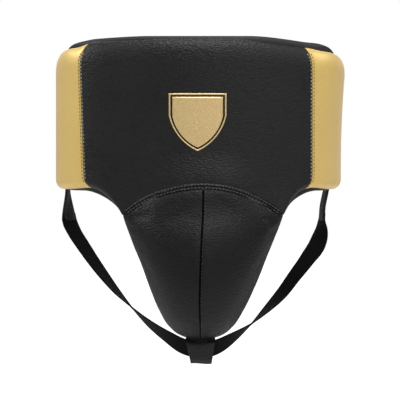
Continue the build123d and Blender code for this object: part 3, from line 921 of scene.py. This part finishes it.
def build_rear():
    """The body-side pad: a softer closed form behind the front pad, standing a little above it."""
    height, depth, front = pad_loops(
        REAR_EDGE, REAR_DEPTH, REAR_ROLLS, REAR_END_R, REAR_FALL, hangs=REAR_HANGS
    )
    rows = len(height)
    wide, forward, down = REAR_LIP
    lip = ridge(top_z(plan_at(COLUMNS)[0][:, 0], REAR_EDGE) - height, 0, wide)
    lip = lip * (np.arange(rows) >= front)[:, None]
    depth = depth + forward * lip
    height = height - down * lip
    s = np.broadcast_to(COLUMNS, height.shape)
    pad = tube("rear_pad", leaned(on_plan(s, depth, height).transpose(1, 0, 2)))
    pins = np.zeros((len(COLUMNS), rows))
    pins[:, front:] = 1
    pins[:, :2] = 1
    pins[:, front - 3 : front] = 1
    pins[[0, -1], :] = 1
    inflate(pad, pins.ravel(), **REAR_PUFF)
    subdivide(pad)
    dress(pad, LINING)
    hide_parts("rear_lining", "rear_foam")
    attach(pad, "root")
    return pad


# ---------------------------------------------------------------------------------------------------------
# The cup


OUTLINE = np.array(CUP_OUTLINE)


def ease(knots, count):
    """Points evenly along a smooth curve through the knots, a row each."""
    run = run_along(knots[:, :3])
    slopes = np.gradient(knots, run, axis=0)
    t = np.linspace(0, run[-1], count)
    k = np.clip(np.searchsorted(run, t, side="right") - 1, 0, len(run) - 2)
    h = (run[k + 1] - run[k])[:, None]
    u = (t[:, None] - run[k][:, None]) / h
    a, b = 2 * u**3 - 3 * u**2 + 1, (u**3 - 2 * u**2 + u) * h
    c, d = 3 * u**2 - 2 * u**3, (u**3 - u**2) * h
    return a * knots[k] + b * slopes[k] + c * knots[k + 1] + d * slopes[k + 1]


EASED = ease(OUTLINE, 400)


def inset_outline(inset):
    """The rim's right side in front view, moved inward: heights and half widths from the top down."""
    z, x = EASED[:, 0], EASED[:, 1]
    dx, dz = np.gradient(x), np.gradient(z)
    length = np.hypot(dx, dz)
    moved_x, moved_z = x + dz / length * inset, z - dx / length * inset
    keep = moved_x > 0
    return np.append(moved_z[keep], moved_z[keep][-1] - 0.0002), np.append(moved_x[keep], 0.0003)


def rim_y(z):
    """How far forward the rim is at those heights."""
    return RIM_TOP[0] + (RIM_TIP[0] - RIM_TOP[0]) * (RIM_TOP[1] - np.asarray(z)) / (RIM_TOP[1] - RIM_TIP[1])


def ridge_y(z):
    """How far forward the cup's ridge is at those heights."""
    return np.interp(z, EASED[::-1, 0], EASED[::-1, 2])


def belly_y(x):
    """How far forward the belly panel's face is at that x."""
    return plan_at(s_at_x(np.clip(np.abs(x), 0, 0.16)))[0][..., 1] - yoke_bulge(x)


def cup_surface(theta, t, inset=0.0, raised=0.0):
    """The cup's face: theta from 0 at the centre to a right angle at the rim, t from the yoke to the tip."""
    theta, t = np.broadcast_arrays(np.asarray(theta, float), np.asarray(t, float))
    levels, widths = inset_outline(inset)
    order = np.argsort(levels)
    levels, widths = levels[order], widths[order]
    top = np.full(theta.shape, YOKE_TOP)
    for _ in range(12):
        top = yoke_z(np.interp(top, levels, widths) * np.sin(theta)) + raised
    z = top + (levels[0] - top) * t
    x = np.interp(z, levels, widths) * np.sin(theta)
    deep = np.maximum(rim_y(z) - ridge_y(z) - inset, 0.001)
    if inset:
        deep = deep * np.sqrt(1 - t**5 * 0.999)
    y = rim_y(z) - deep * np.cos(theta)
    seam_x = np.interp(top, levels, widths) * np.sin(theta)
    seam_y = rim_y(top) - (rim_y(top) - ridge_y(top) - inset) * np.cos(theta)
    gap = (belly_y(seam_x) + inset - seam_y) * (1 - smooth(*JOIN_END, np.abs(seam_x)))
    y = y + gap * ridge(top - z, 0, JOIN_TALL)
    return np.stack((x, y, z), -1)


def facing(obj, direction):
    """Flips a sheet whose faces look away from that direction on the whole."""
    data = obj.data
    normals = np.zeros(len(data.polygons) * 3)
    data.polygons.foreach_get("normal", normals)
    if normals.reshape(-1, 3).sum(0) @ np.array(direction) < 0:
        data.flip_normals()
    return obj


def cup_panel(side):
    """One leather panel of the cup: the face, its turned-in seams and the turn over the rim."""
    first = np.array((0, 0.0007, 0.0015, 0.0023, 0.0029, 0.0035, 0.0042, 0.0052, 0.0070)) / CUP_LONG
    along = np.concatenate((first, np.linspace(0.058, 1, 58)))
    turn = np.concatenate((np.array((0, 0.004, 0.009, 0.015, 0.024, 0.040)), np.linspace(0.07, pi / 2, 38)))
    theta, t = np.meshgrid(turn, along)
    points = cup_surface(theta, t)
    from_seam = np.abs(points[..., 0])
    inner = smooth(0.0, 0.10, t) * (1 - smooth(0.80, 1.0, t))
    points[..., 1] -= KEEL * ridge(from_seam, 0, KEEL_WIDE) * inner
    points[..., 1] += relief(from_seam, CUP_SEAM_RELIEF)
    points[..., 1] += relief(t * CUP_LONG, CUP_YOKE_RELIEF) * (1 - smooth(1.25, 1.5, theta))
    lip = []
    for angle in np.linspace(0, LIP_TURN, 7)[1:]:
        ring = points[:, -1].copy()
        ring[:, 0] -= LIP_R * (1 - cos(angle))
        ring[:, 1] += LIP_R * sin(angle)
        lip.append(ring)
    grid = np.concatenate((points, np.stack(lip, 1)), 1)
    grid[..., 0] = np.maximum(grid[..., 0], 0.00015) * side
    return leaned(grid)


def cup_sheet(name, inset, thick, material, node, rows=44, cols=49, raised=0.003):
    """An inner layer of the cup, rim to rim."""
    theta, t = np.meshgrid(np.linspace(-pi / 2, pi / 2, cols), np.linspace(0, 1, rows))
    grid = leaned(cup_surface(theta, t, inset, raised))
    piece = facing(sheet_mesh(name, grid), (0, -1, 0))
    thicken(piece, thick)
    subdivide(piece)
    dress(piece, material)
    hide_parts(node)
    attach(piece, "root")
    return piece


def build_cup_panels():
    """The cup's two leather panels."""
    panels = {}
    for side, name in ((-1, "left"), (1, "right")):
        grid = cup_panel(side)
        panel = facing(sheet_mesh(f"cup_panel_{name}", grid), (side * 0.3, -1, 0))
        pins = np.zeros(grid.shape[:2])
        pins[:9, :] = pins[-3:, :] = 1
        pins[:, :5] = 1
        pins[:, -7:] = 1
        inflate(panel, pins.ravel(), **CUP_PUFF)
        thicken(panel, CUP_SKIN)
        subdivide(panel)
        dress(panel, CUP_PAINTED_SHADE_LEATHER)
        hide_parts(f"cup_cover_{name}")
        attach(panel, "root")
        panels[name] = panel
    return panels


def build_cup_layers():
    """What the cup holds behind its leather: foam, hard shell, foam and lining."""
    cup_sheet("cup_outer_foam", 0.0024, 0.0052, FOAM, "cup_foam")
    cup_sheet("cup_hard_shell", 0.0084, 0.0025, PLASTIC, "cup_shell")
    cup_sheet("cup_soft_foam", 0.0114, 0.0030, FOAM, "cup_inner_foam")
    cup_sheet("cup_hollow_lining", 0.0150, 0.0010, LINING, "cup_lining")


def build_rim():
    """The padded roll round the cup's rim."""
    levels, widths = inset_outline(ROLL_INSET)
    right = np.stack((widths, levels), -1)
    right = right[right[:, 1] < RIM_ROLL_TOP]
    outline = np.concatenate((right * (-1, 1), right[::-1]))
    run = run_along(outline)
    middle = resampled(outline, run, np.linspace(0, run[-1], ROLL_RINGS))
    for _ in range(3):
        middle[1:-1] = (middle[:-2] + 2 * middle[1:-1] + middle[2:]) / 4
    tangent = unit(np.gradient(middle, axis=0))
    inward = np.stack((-tangent[:, 1], tangent[:, 0]), -1)
    rings = []
    for (x, z), (nx, nz) in zip(middle, inward):
        ring = []
        for angle in np.linspace(0, tau, ROLL_SIDES, endpoint=False):
            side, back = ROLL_WIDE * cos(angle), ROLL_DEEP * sin(angle)
            ring.append((x + nx * side, rim_y(z) + ROLL_BACK + back, z + nz * side))
        rings.append(ring)
    roll = tube("cup_rim_roll", leaned(rings))
    pins = np.zeros((ROLL_RINGS, ROLL_SIDES))
    pins[:, ROLL_SIDES // 2 :] = 1
    pins[[0, -1]] = 1
    inflate(roll, pins.ravel(), **ROLL_PUFF)
    subdivide(roll)
    dress(roll, LINING)
    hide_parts("cup_rim")
    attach(roll, "root")


# ---------------------------------------------------------------------------------------------------------
# Webbing


def spline(stations, pitch):
    """Points and turns along a smooth curve through the stations."""
    knots = np.array([(*place, turn) for place, turn in stations], float)
    out = ease(knots, int(run_along(knots[:, :3])[-1] / pitch) + 1)
    return out[:, :3], out[:, 3]


def oblong(wide, thick, rounding, across=9):
    """A flat strap's section: x across, y through, with rounded edges."""
    half, deep = wide / 2 - rounding, thick / 2
    flat = np.linspace(-half, half, across)
    right = [(half + rounding * cos(a), deep * sin(a)) for a in np.linspace(-pi / 2, pi / 2, 7)[1:-1]]
    side = np.array([(x, -deep) for x in flat] + right)
    return np.concatenate((side, -side))


def ribbon_rings(stations, wide, thick, pitch=0.0025, rounding=0.0009):
    """Rings of a flat strap along its stations."""
    points, turns = spline(stations, pitch)
    section = oblong(wide, thick, rounding)
    tangents = unit(np.gradient(points, axis=0))
    rings = []
    for point, tangent, turn in zip(points, tangents, turns):
        level = unit(np.cross(tangent, (0.0, 1.0, 0.0)))
        ahead = np.cross(level, tangent)
        across = level * cos(radians(turn)) + ahead * sin(radians(turn))
        through = np.cross(tangent, across)
        rings.append(point + section[:, :1] * across + section[:, 1:] * through)
    return np.array(rings)


def flat_uv(obj, rings):
    """Flat coordinates for woven straps: along the strap and across it, in metres."""
    rings = np.asarray(rings)
    cols = rings.shape[1]
    along = run_along(rings.mean(1))
    spokes = rings[0] - rings[0].mean(0)
    across = spokes @ unit(spokes[np.argmax(np.linalg.norm(spokes, axis=1))])
    layer = obj.data.uv_layers.new(name="flat")
    for polygon in obj.data.polygons:
        for loop in polygon.loop_indices:
            index = obj.data.loops[loop].vertex_index
            layer.data[loop].uv = (along[index // cols], across[index % cols])


def strap(name, stations, wide, thick, material, pitch=0.0025):
    """A piece of webbing."""
    rings = ribbon_rings(stations, wide, thick, pitch)
    piece = tube(name, rings)
    flat_uv(piece, rings)
    subdivide(piece)
    return dress(piece, material)


def build_straps():
    """Hangers and the leg strap. The strap's ends meet inside the crotch loop."""
    hangers = {}
    for side, hanger, stations, nodes in (
        ("left", LEFT_HANGER, LEFT_STRAP, ("leg_strap_left", "leg_strap_centre")),
        ("right", RIGHT_HANGER, RIGHT_STRAP, ("leg_strap_right",)),
    ):
        tab = strap(f"hanger_leather_{side}", hanger, HANGER_WIDE, HANGER_THICK, BLACK)
        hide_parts(f"hanger_{side}")
        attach(tab, "root")
        hangers[side] = tab
        web = strap(f"leg_strap_web_{side}", stations, STRAP_WIDE, STRAP_THICK, WEBBING)
        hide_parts(*nodes)
        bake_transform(web)
    return hangers


# ---------------------------------------------------------------------------------------------------------
# Crotch loop


def build_crotch_loop():
    """A leather strip folded round the strap's middle, its two leaves sewn into the cup's tip."""
    line = ease(np.array([(0.0, y + CROTCH_Y, z, wide) for y, z, wide in LOOP_PATH]), 72)
    tangent = unit(np.gradient(line[:, :3], axis=0))
    rings = []
    for (_, y, z, wide), (_, ty, tz) in zip(line, tangent):
        section = oblong(wide, LOOP_LEATHER, LOOP_ROUNDING, 15)
        middle = LOOP_ASIDE[0] + LOOP_ASIDE[1] * smooth(LOOP_NECK, LOOP_FOOT, z)
        bow = LOOP_BOW * np.sin(section[:, 0] / LOOP_BOW_WIDE) * smooth(0.0, 1.0, abs(ty) + 0.4)
        rings.append([(middle + x, y + (w + b) * tz, z - (w + b) * ty) for (x, w), b in zip(section, bow)])
    loop = tube("crotch_loop", rings)
    subdivide(loop)
    dress(loop, LIT_CROTCH_LEATHER)
    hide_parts("crotch_tab")
    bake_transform(loop)


# ---------------------------------------------------------------------------------------------------------
# Rear bands and closure


def s_at_back_x(x, depth):
    """The arc length at which the right half, run on past the centre behind, has that x."""
    _, radius, start, _, run = SEGMENTS[-1]
    return run + radius * (pi - np.arcsin(x / (radius - depth)) - radians(start))


def along_band(name, side, s, half, depth, thick, rounding, material, across=25):
    """A strip that follows the plan curve, with its half height and depth at each s, or one for all."""
    half, depth = np.broadcast_to(half, s.shape), np.broadcast_to(depth, s.shape)
    rings = []
    for here, tall, deep in zip(s, half, depth):
        section = oblong(2 * tall, thick, rounding, across)
        rings.append(on_plan(np.full(len(section), here), deep + section[:, 1], section[:, 0]))
    rings = np.array(rings) * (side, 1, 1)
    strip = tube(name, rings)
    flat_uv(strip, rings)
    subdivide(strip)
    return dress(strip, material)


def build_bands():
    """The elastic bands."""
    start = s_at_angle(HIP_END - 2.6)
    ends = {"right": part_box("rear_band_right")[0].x, "left": -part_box("rear_band_left")[1].x}
    for side, name in ((1, "right"), (-1, "left")):
        s = np.arange(start, s_at_back_x(ends[name], BAND_MID), 0.003)
        gather = 0.0003 * np.sin(s / 0.0062) + 0.0002 * np.sin(s / 0.0041 + side)
        half = BAND_HALF - 0.0006 + gather
        band = along_band(f"elastic_band_{name}", side, s, half, BAND_MID, BAND_THICK, 0.0012, ELASTIC)
        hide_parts(f"rear_band_{name}", f"band_anchor_{name}")
        a, b = on_plan(np.array([S_HIP - 0.001, S_HIP + 0.018]), BAND_MID, 0.0)
        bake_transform(band)


def rounded_half(s, end, half, corner):
    """Half height of a strip whose last corners are rounded."""
    near = np.clip(corner - np.abs(end - s), 0, corner)
    return half - corner + np.sqrt(np.maximum(corner**2 - near**2, 0.0000001))


def build_closure():
    """Loop patch, hook patch and the leather tab, sewn to the right band and lying over the left one."""
    low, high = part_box("loop_patch")
    depth, thick, corner = LOOP_PATCH
    s = np.linspace(s_at_back_x(-low.x, BAND_MID), s_at_back_x(-high.x, BAND_MID), 34)
    half = rounded_half(s, s[0], high.z, corner)
    loops = along_band("loop_pile_patch", -1, s, half, depth, thick, 0.0005, LOOP)
    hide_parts("loop_patch")
    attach(loops, "rear_band_left")
    low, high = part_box("hook_patch")
    depth, thick, corner = HOOK_PATCH
    s = np.linspace(s_at_back_x(-low.x, 0.011), s_at_back_x(-high.x, 0.011), 22)
    half = rounded_half(s, s[-1], high.z, corner)
    hooks = along_band("hook_pile_patch", -1, s, half, depth, thick, 0.0004, HOOK)
    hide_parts("hook_patch")
    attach(hooks, "closure_tab")
    low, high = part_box("closure_tab")
    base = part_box("closure_base")[1]
    s = np.linspace(s_at_back_x(base.x, TAB_MID), s_at_back_x(low.x, TAB_MID), 90)
    x = on_plan(s, TAB_MID, 0.0)[:, 0]
    half = np.minimum(rounded_half(s, s[-1], high.z, TAB_CORNER), rounded_half(s, s[0], high.z, BASE_CORNER))
    depth = TAB_BASE_DEPTH - TAB_RISE * (1 - smooth(0.006, 0.018, x))
    tab = along_band("closure_leather_tab", 1, s, half, depth, TAB_THICK, 0.0008, BLACK)
    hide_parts("closure_tab", "closure_base")
    x, y, _ = next(j for j in frame["joints"] if j["name"] == "closure_tab_peel")["pos_m"]
    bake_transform(tab)
    return {"tab": tab, "loops": loops}


# ---------------------------------------------------------------------------------------------------------
# Emblem: a plain heater shield inside a thin border, printed in foil on the belly


def shield_outline(count):
    """The shield's outline as angles go round, x and z from its middle."""
    low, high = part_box("front_emblem")
    half, top, foot = high.x, high.z, low.z
    middle = (top + foot) / 2
    shoulder = middle + SHIELD_SHOULDER
    centre, radius = circle_through((half, shoulder), SHIELD_BULGE, (0.0, foot))
    right = [(half, z) for z in np.linspace(top, shoulder, 10, endpoint=False)]
    for z in np.linspace(shoulder, foot, count):
        right.append((centre[0] + sqrt(max(radius**2 - (z - centre[1]) ** 2, 0)), z))
    top_edge = [(x, top) for x in np.linspace(-half, half, 15)[1:-1]]
    left = [(-x, z) for x, z in right[::-1][1:]]
    return np.array(top_edge + right + left) - (0, middle), middle


def printed(name, grid, tree):
    """A thin print that lies on the belly, from rings of x and z."""
    points = []
    for x, z in grid.reshape(-1, 2):
        hit = tree.ray_cast(Vector((x, -0.3, z)), Vector((0, 1, 0)))
        points.append(hit[0] - Vector((0, PRINT_LIFT, 0)))
    return facing(mesh_object(name, points, grid_faces(*grid.shape[:2], closed_cols=True)), (0, -1, 0))


def build_emblem():
    """The shield and its border."""
    tree = tree_of(FRONT["belly_panel"])
    outline, middle = shield_outline(26)
    shift = np.array((EMBLEM_SHIFT, middle))
    border = np.array([outline * scale + shift for scale in BORDER_SCALES])
    field = np.array([outline * scale + shift for scale in np.linspace(FIELD_SCALE, 0.004, 16)])
    for name, grid in (("shield_border", border), ("shield_field", field)):
        piece = printed(name, grid, tree)
        thicken(piece, PRINT_THICK)
        dress(piece, FOIL)
        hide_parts("front_emblem")
        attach(piece, "root")


# ---------------------------------------------------------------------------------------------------------
# Stitches


def stitch_row(points, pitch=0.0048, length=0.0032):
    """Where stitches go along a line: their middles and directions."""
    points = np.asarray(points, float)
    run = run_along(points)
    count = max(int(run[-1] / pitch), 1)
    at = (np.arange(count) + 0.5) * run[-1] / count
    return zip(resampled(points, run, at - length / 2), resampled(points, run, at + length / 2))


# A stitch's rings from its middle to one end: how far along in half lengths, how wide and high in radii.
STITCH_HALF = ((0.3, 1.0, 0.45), (0.72, 0.9, -0.2), (1.0, 0.25, -1.6))
STITCH_RINGS = [(-t, wide, lift) for t, wide, lift in STITCH_HALF[::-1]] + list(STITCH_HALF)


def sew(name, rows, surfaces, material, body, radius=0.00042, **spacing):
    """Thread lying along rows of lines on those surfaces. Each stitch dips into the leather at its ends."""
    tree = tree_of(*surfaces)
    points, faces = [], []
    sides = 6
    for row in rows:
        for head, tail in stitch_row(row, **spacing):
            place, normal, _, _ = tree.find_nearest(Vector((head + tail) / 2))
            along = Vector(tail - head)
            half = along.length / 2
            along = (along - normal * along.dot(normal)).normalized()
            beside = normal.cross(along)
            base = len(points)
            for t, wide, lift in STITCH_RINGS:
                middle = place + along * (t * half) + normal * (lift * radius)
                for k in range(sides):
                    a = tau * k / sides
                    points.append(middle + (beside * cos(a) * 1.15 + normal * sin(a)) * radius * wide)
            last = len(points) - sides
            faces += grid_faces(len(STITCH_RINGS), sides, closed_cols=True, offset=base)
            faces.append(tuple(range(base, base + sides))[::-1])
            faces.append(tuple(range(last, last + sides)))
    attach(dress(mesh_object(name, points, faces), material), body)


def hip_seam_row(side, offset, low, high):
    """A line beside a hip seam, that far outward of it."""
    z = np.linspace(low, high, 60)
    s = side * ((S_RIGHT if side > 0 else -S_LEFT) - seam_shift(side, z) + offset)
    return on_plan(s, -0.001, z)


def yoke_row(offset):
    """A line beside the yoke seam, that far above it."""
    x = np.linspace(-YOKE_REACH, YOKE_REACH, 90)
    slope = -x / np.sqrt(YOKE_R**2 - x**2)
    length = np.sqrt(1 + slope**2)
    x_moved, z = x - slope / length * offset, yoke_z(x) + offset / length
    return leaned(np.stack((x_moved, belly_y(x) - 0.002, z), -1))


def closure_row(inset):
    """A line round the closure tab's free part, inside its edge."""
    low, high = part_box("closure_tab")
    start, end = s_at_back_x(-0.004, TAB_MID), s_at_back_x(low.x, TAB_MID) - inset
    s = np.linspace(start, end, 60)
    half = rounded_half(s, end, high.z - inset, TAB_CORNER - 0.002)
    return on_plan(np.append(s, s[::-1]), 0.0070, np.append(half, -half[::-1]))


def loop_patch_row(inset):
    """A line round the loop patch, inside its edge."""
    low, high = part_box("loop_patch")
    ends = s_at_back_x(-low.x, BAND_MID) + inset, s_at_back_x(-high.x, BAND_MID) - inset
    tall = high.z - inset
    corners = [(ends[0], tall), (ends[1], tall), (ends[1], -tall), (ends[0], -tall), (ends[0], tall)]
    s, z = resampled(np.array(corners), np.arange(5), np.linspace(0, 4, 161)).T
    return on_plan(s, 0.0108, z) * (-1, 1, 1)


def rear_pad_rows(inset):
    """Lines along the rear pad's upper and lower edges, on the body's side."""
    s = np.linspace(0.012 - S_HIP, S_HIP - 0.012, 300)
    x = plan_at(s)[0][:, 0]
    from_end = S_HIP - np.abs(s)
    top = top_z(x, REAR_EDGE) - faded(REAR_FALL, from_end) - inset
    place = on_plan(s, 0.019, 0.0)[:, 0]
    low = bottom_z(place) + faded(LOW_RISE, from_end) + inset - 0.001
    return [leaned(on_plan(s, REAR_DEPTH + 0.003, z)) for z in (top, low)]


def hanger_rows(stations):
    """The square of stitches that joins a hanger's two leaves to the webbing, on both faces."""
    rings = ribbon_rings(stations, 0.013, HANGER_THICK + 0.001)[-7:-1]
    rows = []
    for first, last in ((0, 8), (22, 14)):
        rows += [rings[0, [first, last]], rings[-1, [first, last]], rings[:, first], rings[:, last]]
    return rows


def painted_seam_shade(name, line, surfaces, beside):
    """A thin dull dark tube in the seam along that line, lying between the surfaces on its two sides:
    painted shade for the seam's groove.
    """
    tree = tree_of(*surfaces)
    line = np.array(line, float)
    for point in line:
        starts = [Vector(point + side * np.array(beside)) - Vector((0, 0.05, 0)) for side in (-1, 1)]
        hits = [hit for hit, *_ in (tree.ray_cast(start, Vector((0, 1, 0))) for start in starts) if hit]
        point[1] = sum(hit.y for hit in hits) / len(hits) + SEAM_SHADE_SUNK
    along = unit(np.gradient(line, axis=0))
    across = unit(np.cross(along, (0.0, -1.0, 0.0)))
    angles = np.linspace(0, tau, 8, endpoint=False)[None, :, None]
    spokes = np.cos(angles) * across[:, None] + np.sin(angles) * np.cross(along, across)[:, None]
    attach(dress(tube(name, line[:, None] + SEAM_SHADE_R * spokes), SEAM_PAINTED_SHADE), "root")


def build_stitches():
    """Every row of visible stitches."""
    belly, cup = FRONT["belly_panel"], [CUP["left"], CUP["right"]]
    tall = np.linspace(-BAND_HALF + 0.002, BAND_HALF - 0.002, 40)
    for side, name in ((-1, "left"), (1, "right")):
        rows = [hip_seam_row(side, HIP_ROW, PAD_BOTTOM + 0.008, FRONT_TOP - 0.014)]
        for back in END_ROWS:
            rows.append(on_plan(np.full(40, side * (S_HIP - back)), -0.001, tall))
        sew(f"stitches_hip_{name}", rows, [FRONT[f"hip_panel_{name}"]], DARK_THREAD, "root", **CLOSE)
    rows = [hip_seam_row(side, BELLY_ROW, PAD_BOTTOM + 0.012, FRONT_TOP - 0.014) for side in (-1, 1)]
    sew("stitches_belly_sides", rows, [belly], THREAD_PAINTED_REFLECTION, "root", SEAM_THREAD_R, **CLOSE)
    sew("stitches_belly", [yoke_row(YOKE_ROWS[0])], [belly], THREAD_PAINTED_HIGHLIGHT, "root", SEAM_THREAD_R, **CLOSE)
    t = np.linspace(0.006, 0.985, 80)
    centre = leaned(cup_surface(np.full(80, 0.020), t))
    centre[:, 1] -= 0.002
    sew("stitches_cup", [yoke_row(YOKE_ROWS[1])], cup, THREAD_PAINTED_HIGHLIGHT, "root", SEAM_THREAD_R, **CLOSE)
    sew("stitches_cup_centre", [centre], cup, DARK_THREAD, "root", CENTRE_THREAD_R, **CLOSE)
    painted_seam_shade("painted_seam_shade_yoke", yoke_row(0.0), [belly, *cup], (0, 0, 0.0013))
    middle = leaned(cup_surface(np.zeros(80), t))
    painted_seam_shade("painted_seam_shade_cup", middle, cup, (0.0014, 0, 0))
    sew("stitches_rear_pad", rear_pad_rows(REAR_ROW), [REAR], THREAD_PAINTED_HIGHLIGHT, "root")
    sew("stitches_closure_tab", [closure_row(TAB_ROW)], [CLOSURE["tab"]], THREAD_PAINTED_HIGHLIGHT, "closure_tab")
    row = loop_patch_row(PATCH_ROW)
    sew("stitches_loop_patch", [row], [CLOSURE["loops"]], THREAD_PAINTED_HIGHLIGHT, "rear_band_left")
    for name, stations in (("left", LEFT_HANGER), ("right", RIGHT_HANGER)):
        sew(f"stitches_hanger_{name}", hanger_rows(stations), [HANGERS[name]], THREAD_PAINTED_HIGHLIGHT, "root", **FINE)


def finish_anchors():
    """The sewn-in end of the crotch loop is CAD's own."""
    anchor = frame["nodes"]["crotch_tab_anchor"]
    anchor.data.materials.clear()
    anchor.data.materials.append(BLACK)


# ---------------------------------------------------------------------------------------------------------
# Stage

# The floor's height, the world's power on the object, and each light's place, size and power in watts.
FLOOR_Z, WORLD_POWER = -0.62, 0.33
LIGHTS = (
    ("top_softbox", (0.15, -0.80, 2.55), 1.2, 53),
    ("front_softbox", (0.9, -2.5, 1.2), 1.6, 15.5),
    ("left_softbox", (-1.9, -0.1, 1.25), 1.0, 23),
    ("right_softbox", (1.9, -0.1, 1.25), 1.0, 13),
    ("rear_softbox", (0.0, 1.9, 1.3), 1.4, 14),
)
LIT_POINT = (0, 0, -0.08)  # where they all aim
# What the camera looks at, from how far, its azimuth and elevation in degrees, and the width that it frames.
CAMERA_AIM = (0.0, -0.075, -0.0937)
CAMERA_FAR, CAMERA_AZIMUTH, CAMERA_ELEVATION, CAMERA_FRAMES = 6.0, 1.0, 1.2, 0.460


def build_stage():
    """Pale floor, soft studio light and the camera."""
    bpy.ops.mesh.primitive_plane_add(size=30, location=(0, 0, FLOOR_Z))
    floor = bpy.context.object
    floor.name = "floor"
    n = Nodes("pale_floor")
    n.set(Base_Color=(0.8, 0.8, 0.8, 1), Roughness=0.9, Specular_IOR_Level=0.1)
    glow = n.add("ShaderNodeLightPath")
    n.link(glow.outputs["Is Camera Ray"], n.shader.inputs["Emission Strength"])
    n.set(Emission_Color=(1, 1, 1, 1))
    floor.data.materials.append(n.material)
    world = bpy.data.worlds.new("studio")
    bpy.context.scene.world = world
    world.use_nodes = True
    tree = world.node_tree
    back = tree.nodes["Background"]
    back.inputs["Color"].default_value = (1, 1, 1, 1)
    back.inputs["Strength"].default_value = 1.0
    dim = tree.nodes.new("ShaderNodeBackground")
    dim.inputs["Strength"].default_value = WORLD_POWER
    path = tree.nodes.new("ShaderNodeLightPath")
    mix = tree.nodes.new("ShaderNodeMixShader")
    tree.links.new(path.outputs["Is Camera Ray"], mix.inputs["Fac"])
    tree.links.new(dim.outputs[0], mix.inputs[1])
    tree.links.new(back.outputs[0], mix.inputs[2])
    tree.links.new(mix.outputs[0], tree.nodes["World Output"].inputs["Surface"])
    for name, place, size, power in LIGHTS:
        light = bpy.data.lights.new(name, "AREA")
        light.shape = "DISK"
        light.size = size
        light.energy = power
        lamp = bpy.data.objects.new(name, light)
        bpy.context.scene.collection.objects.link(lamp)
        lamp.location = place
        lamp.rotation_euler = (Vector(LIT_POINT) - Vector(place)).to_track_quat("-Z", "Y").to_euler()
    camera = bpy.data.cameras.new("camera")
    eye = bpy.data.objects.new("camera", camera)
    bpy.context.scene.collection.objects.link(eye)
    azimuth, elevation = radians(CAMERA_AZIMUTH), radians(CAMERA_ELEVATION)
    aim = Vector(CAMERA_AIM)
    way = Vector((sin(azimuth) * cos(elevation), -cos(azimuth) * cos(elevation), sin(elevation)))
    eye.location = aim + way * CAMERA_FAR
    eye.rotation_euler = (-way).to_track_quat("-Z", "Y").to_euler()
    camera.lens = camera.sensor_width * CAMERA_FAR / CAMERA_FRAMES
    bpy.context.scene.camera = eye
    bpy.context.scene.view_settings.view_transform = "Standard"


FRONT = build_front()
REAR = build_rear()
CUP = build_cup_panels()
build_cup_layers()
build_rim()
HANGERS = build_straps()
build_crotch_loop()
build_bands()
CLOSURE = build_closure()
build_emblem()
build_stitches()
finish_anchors()
build_stage()
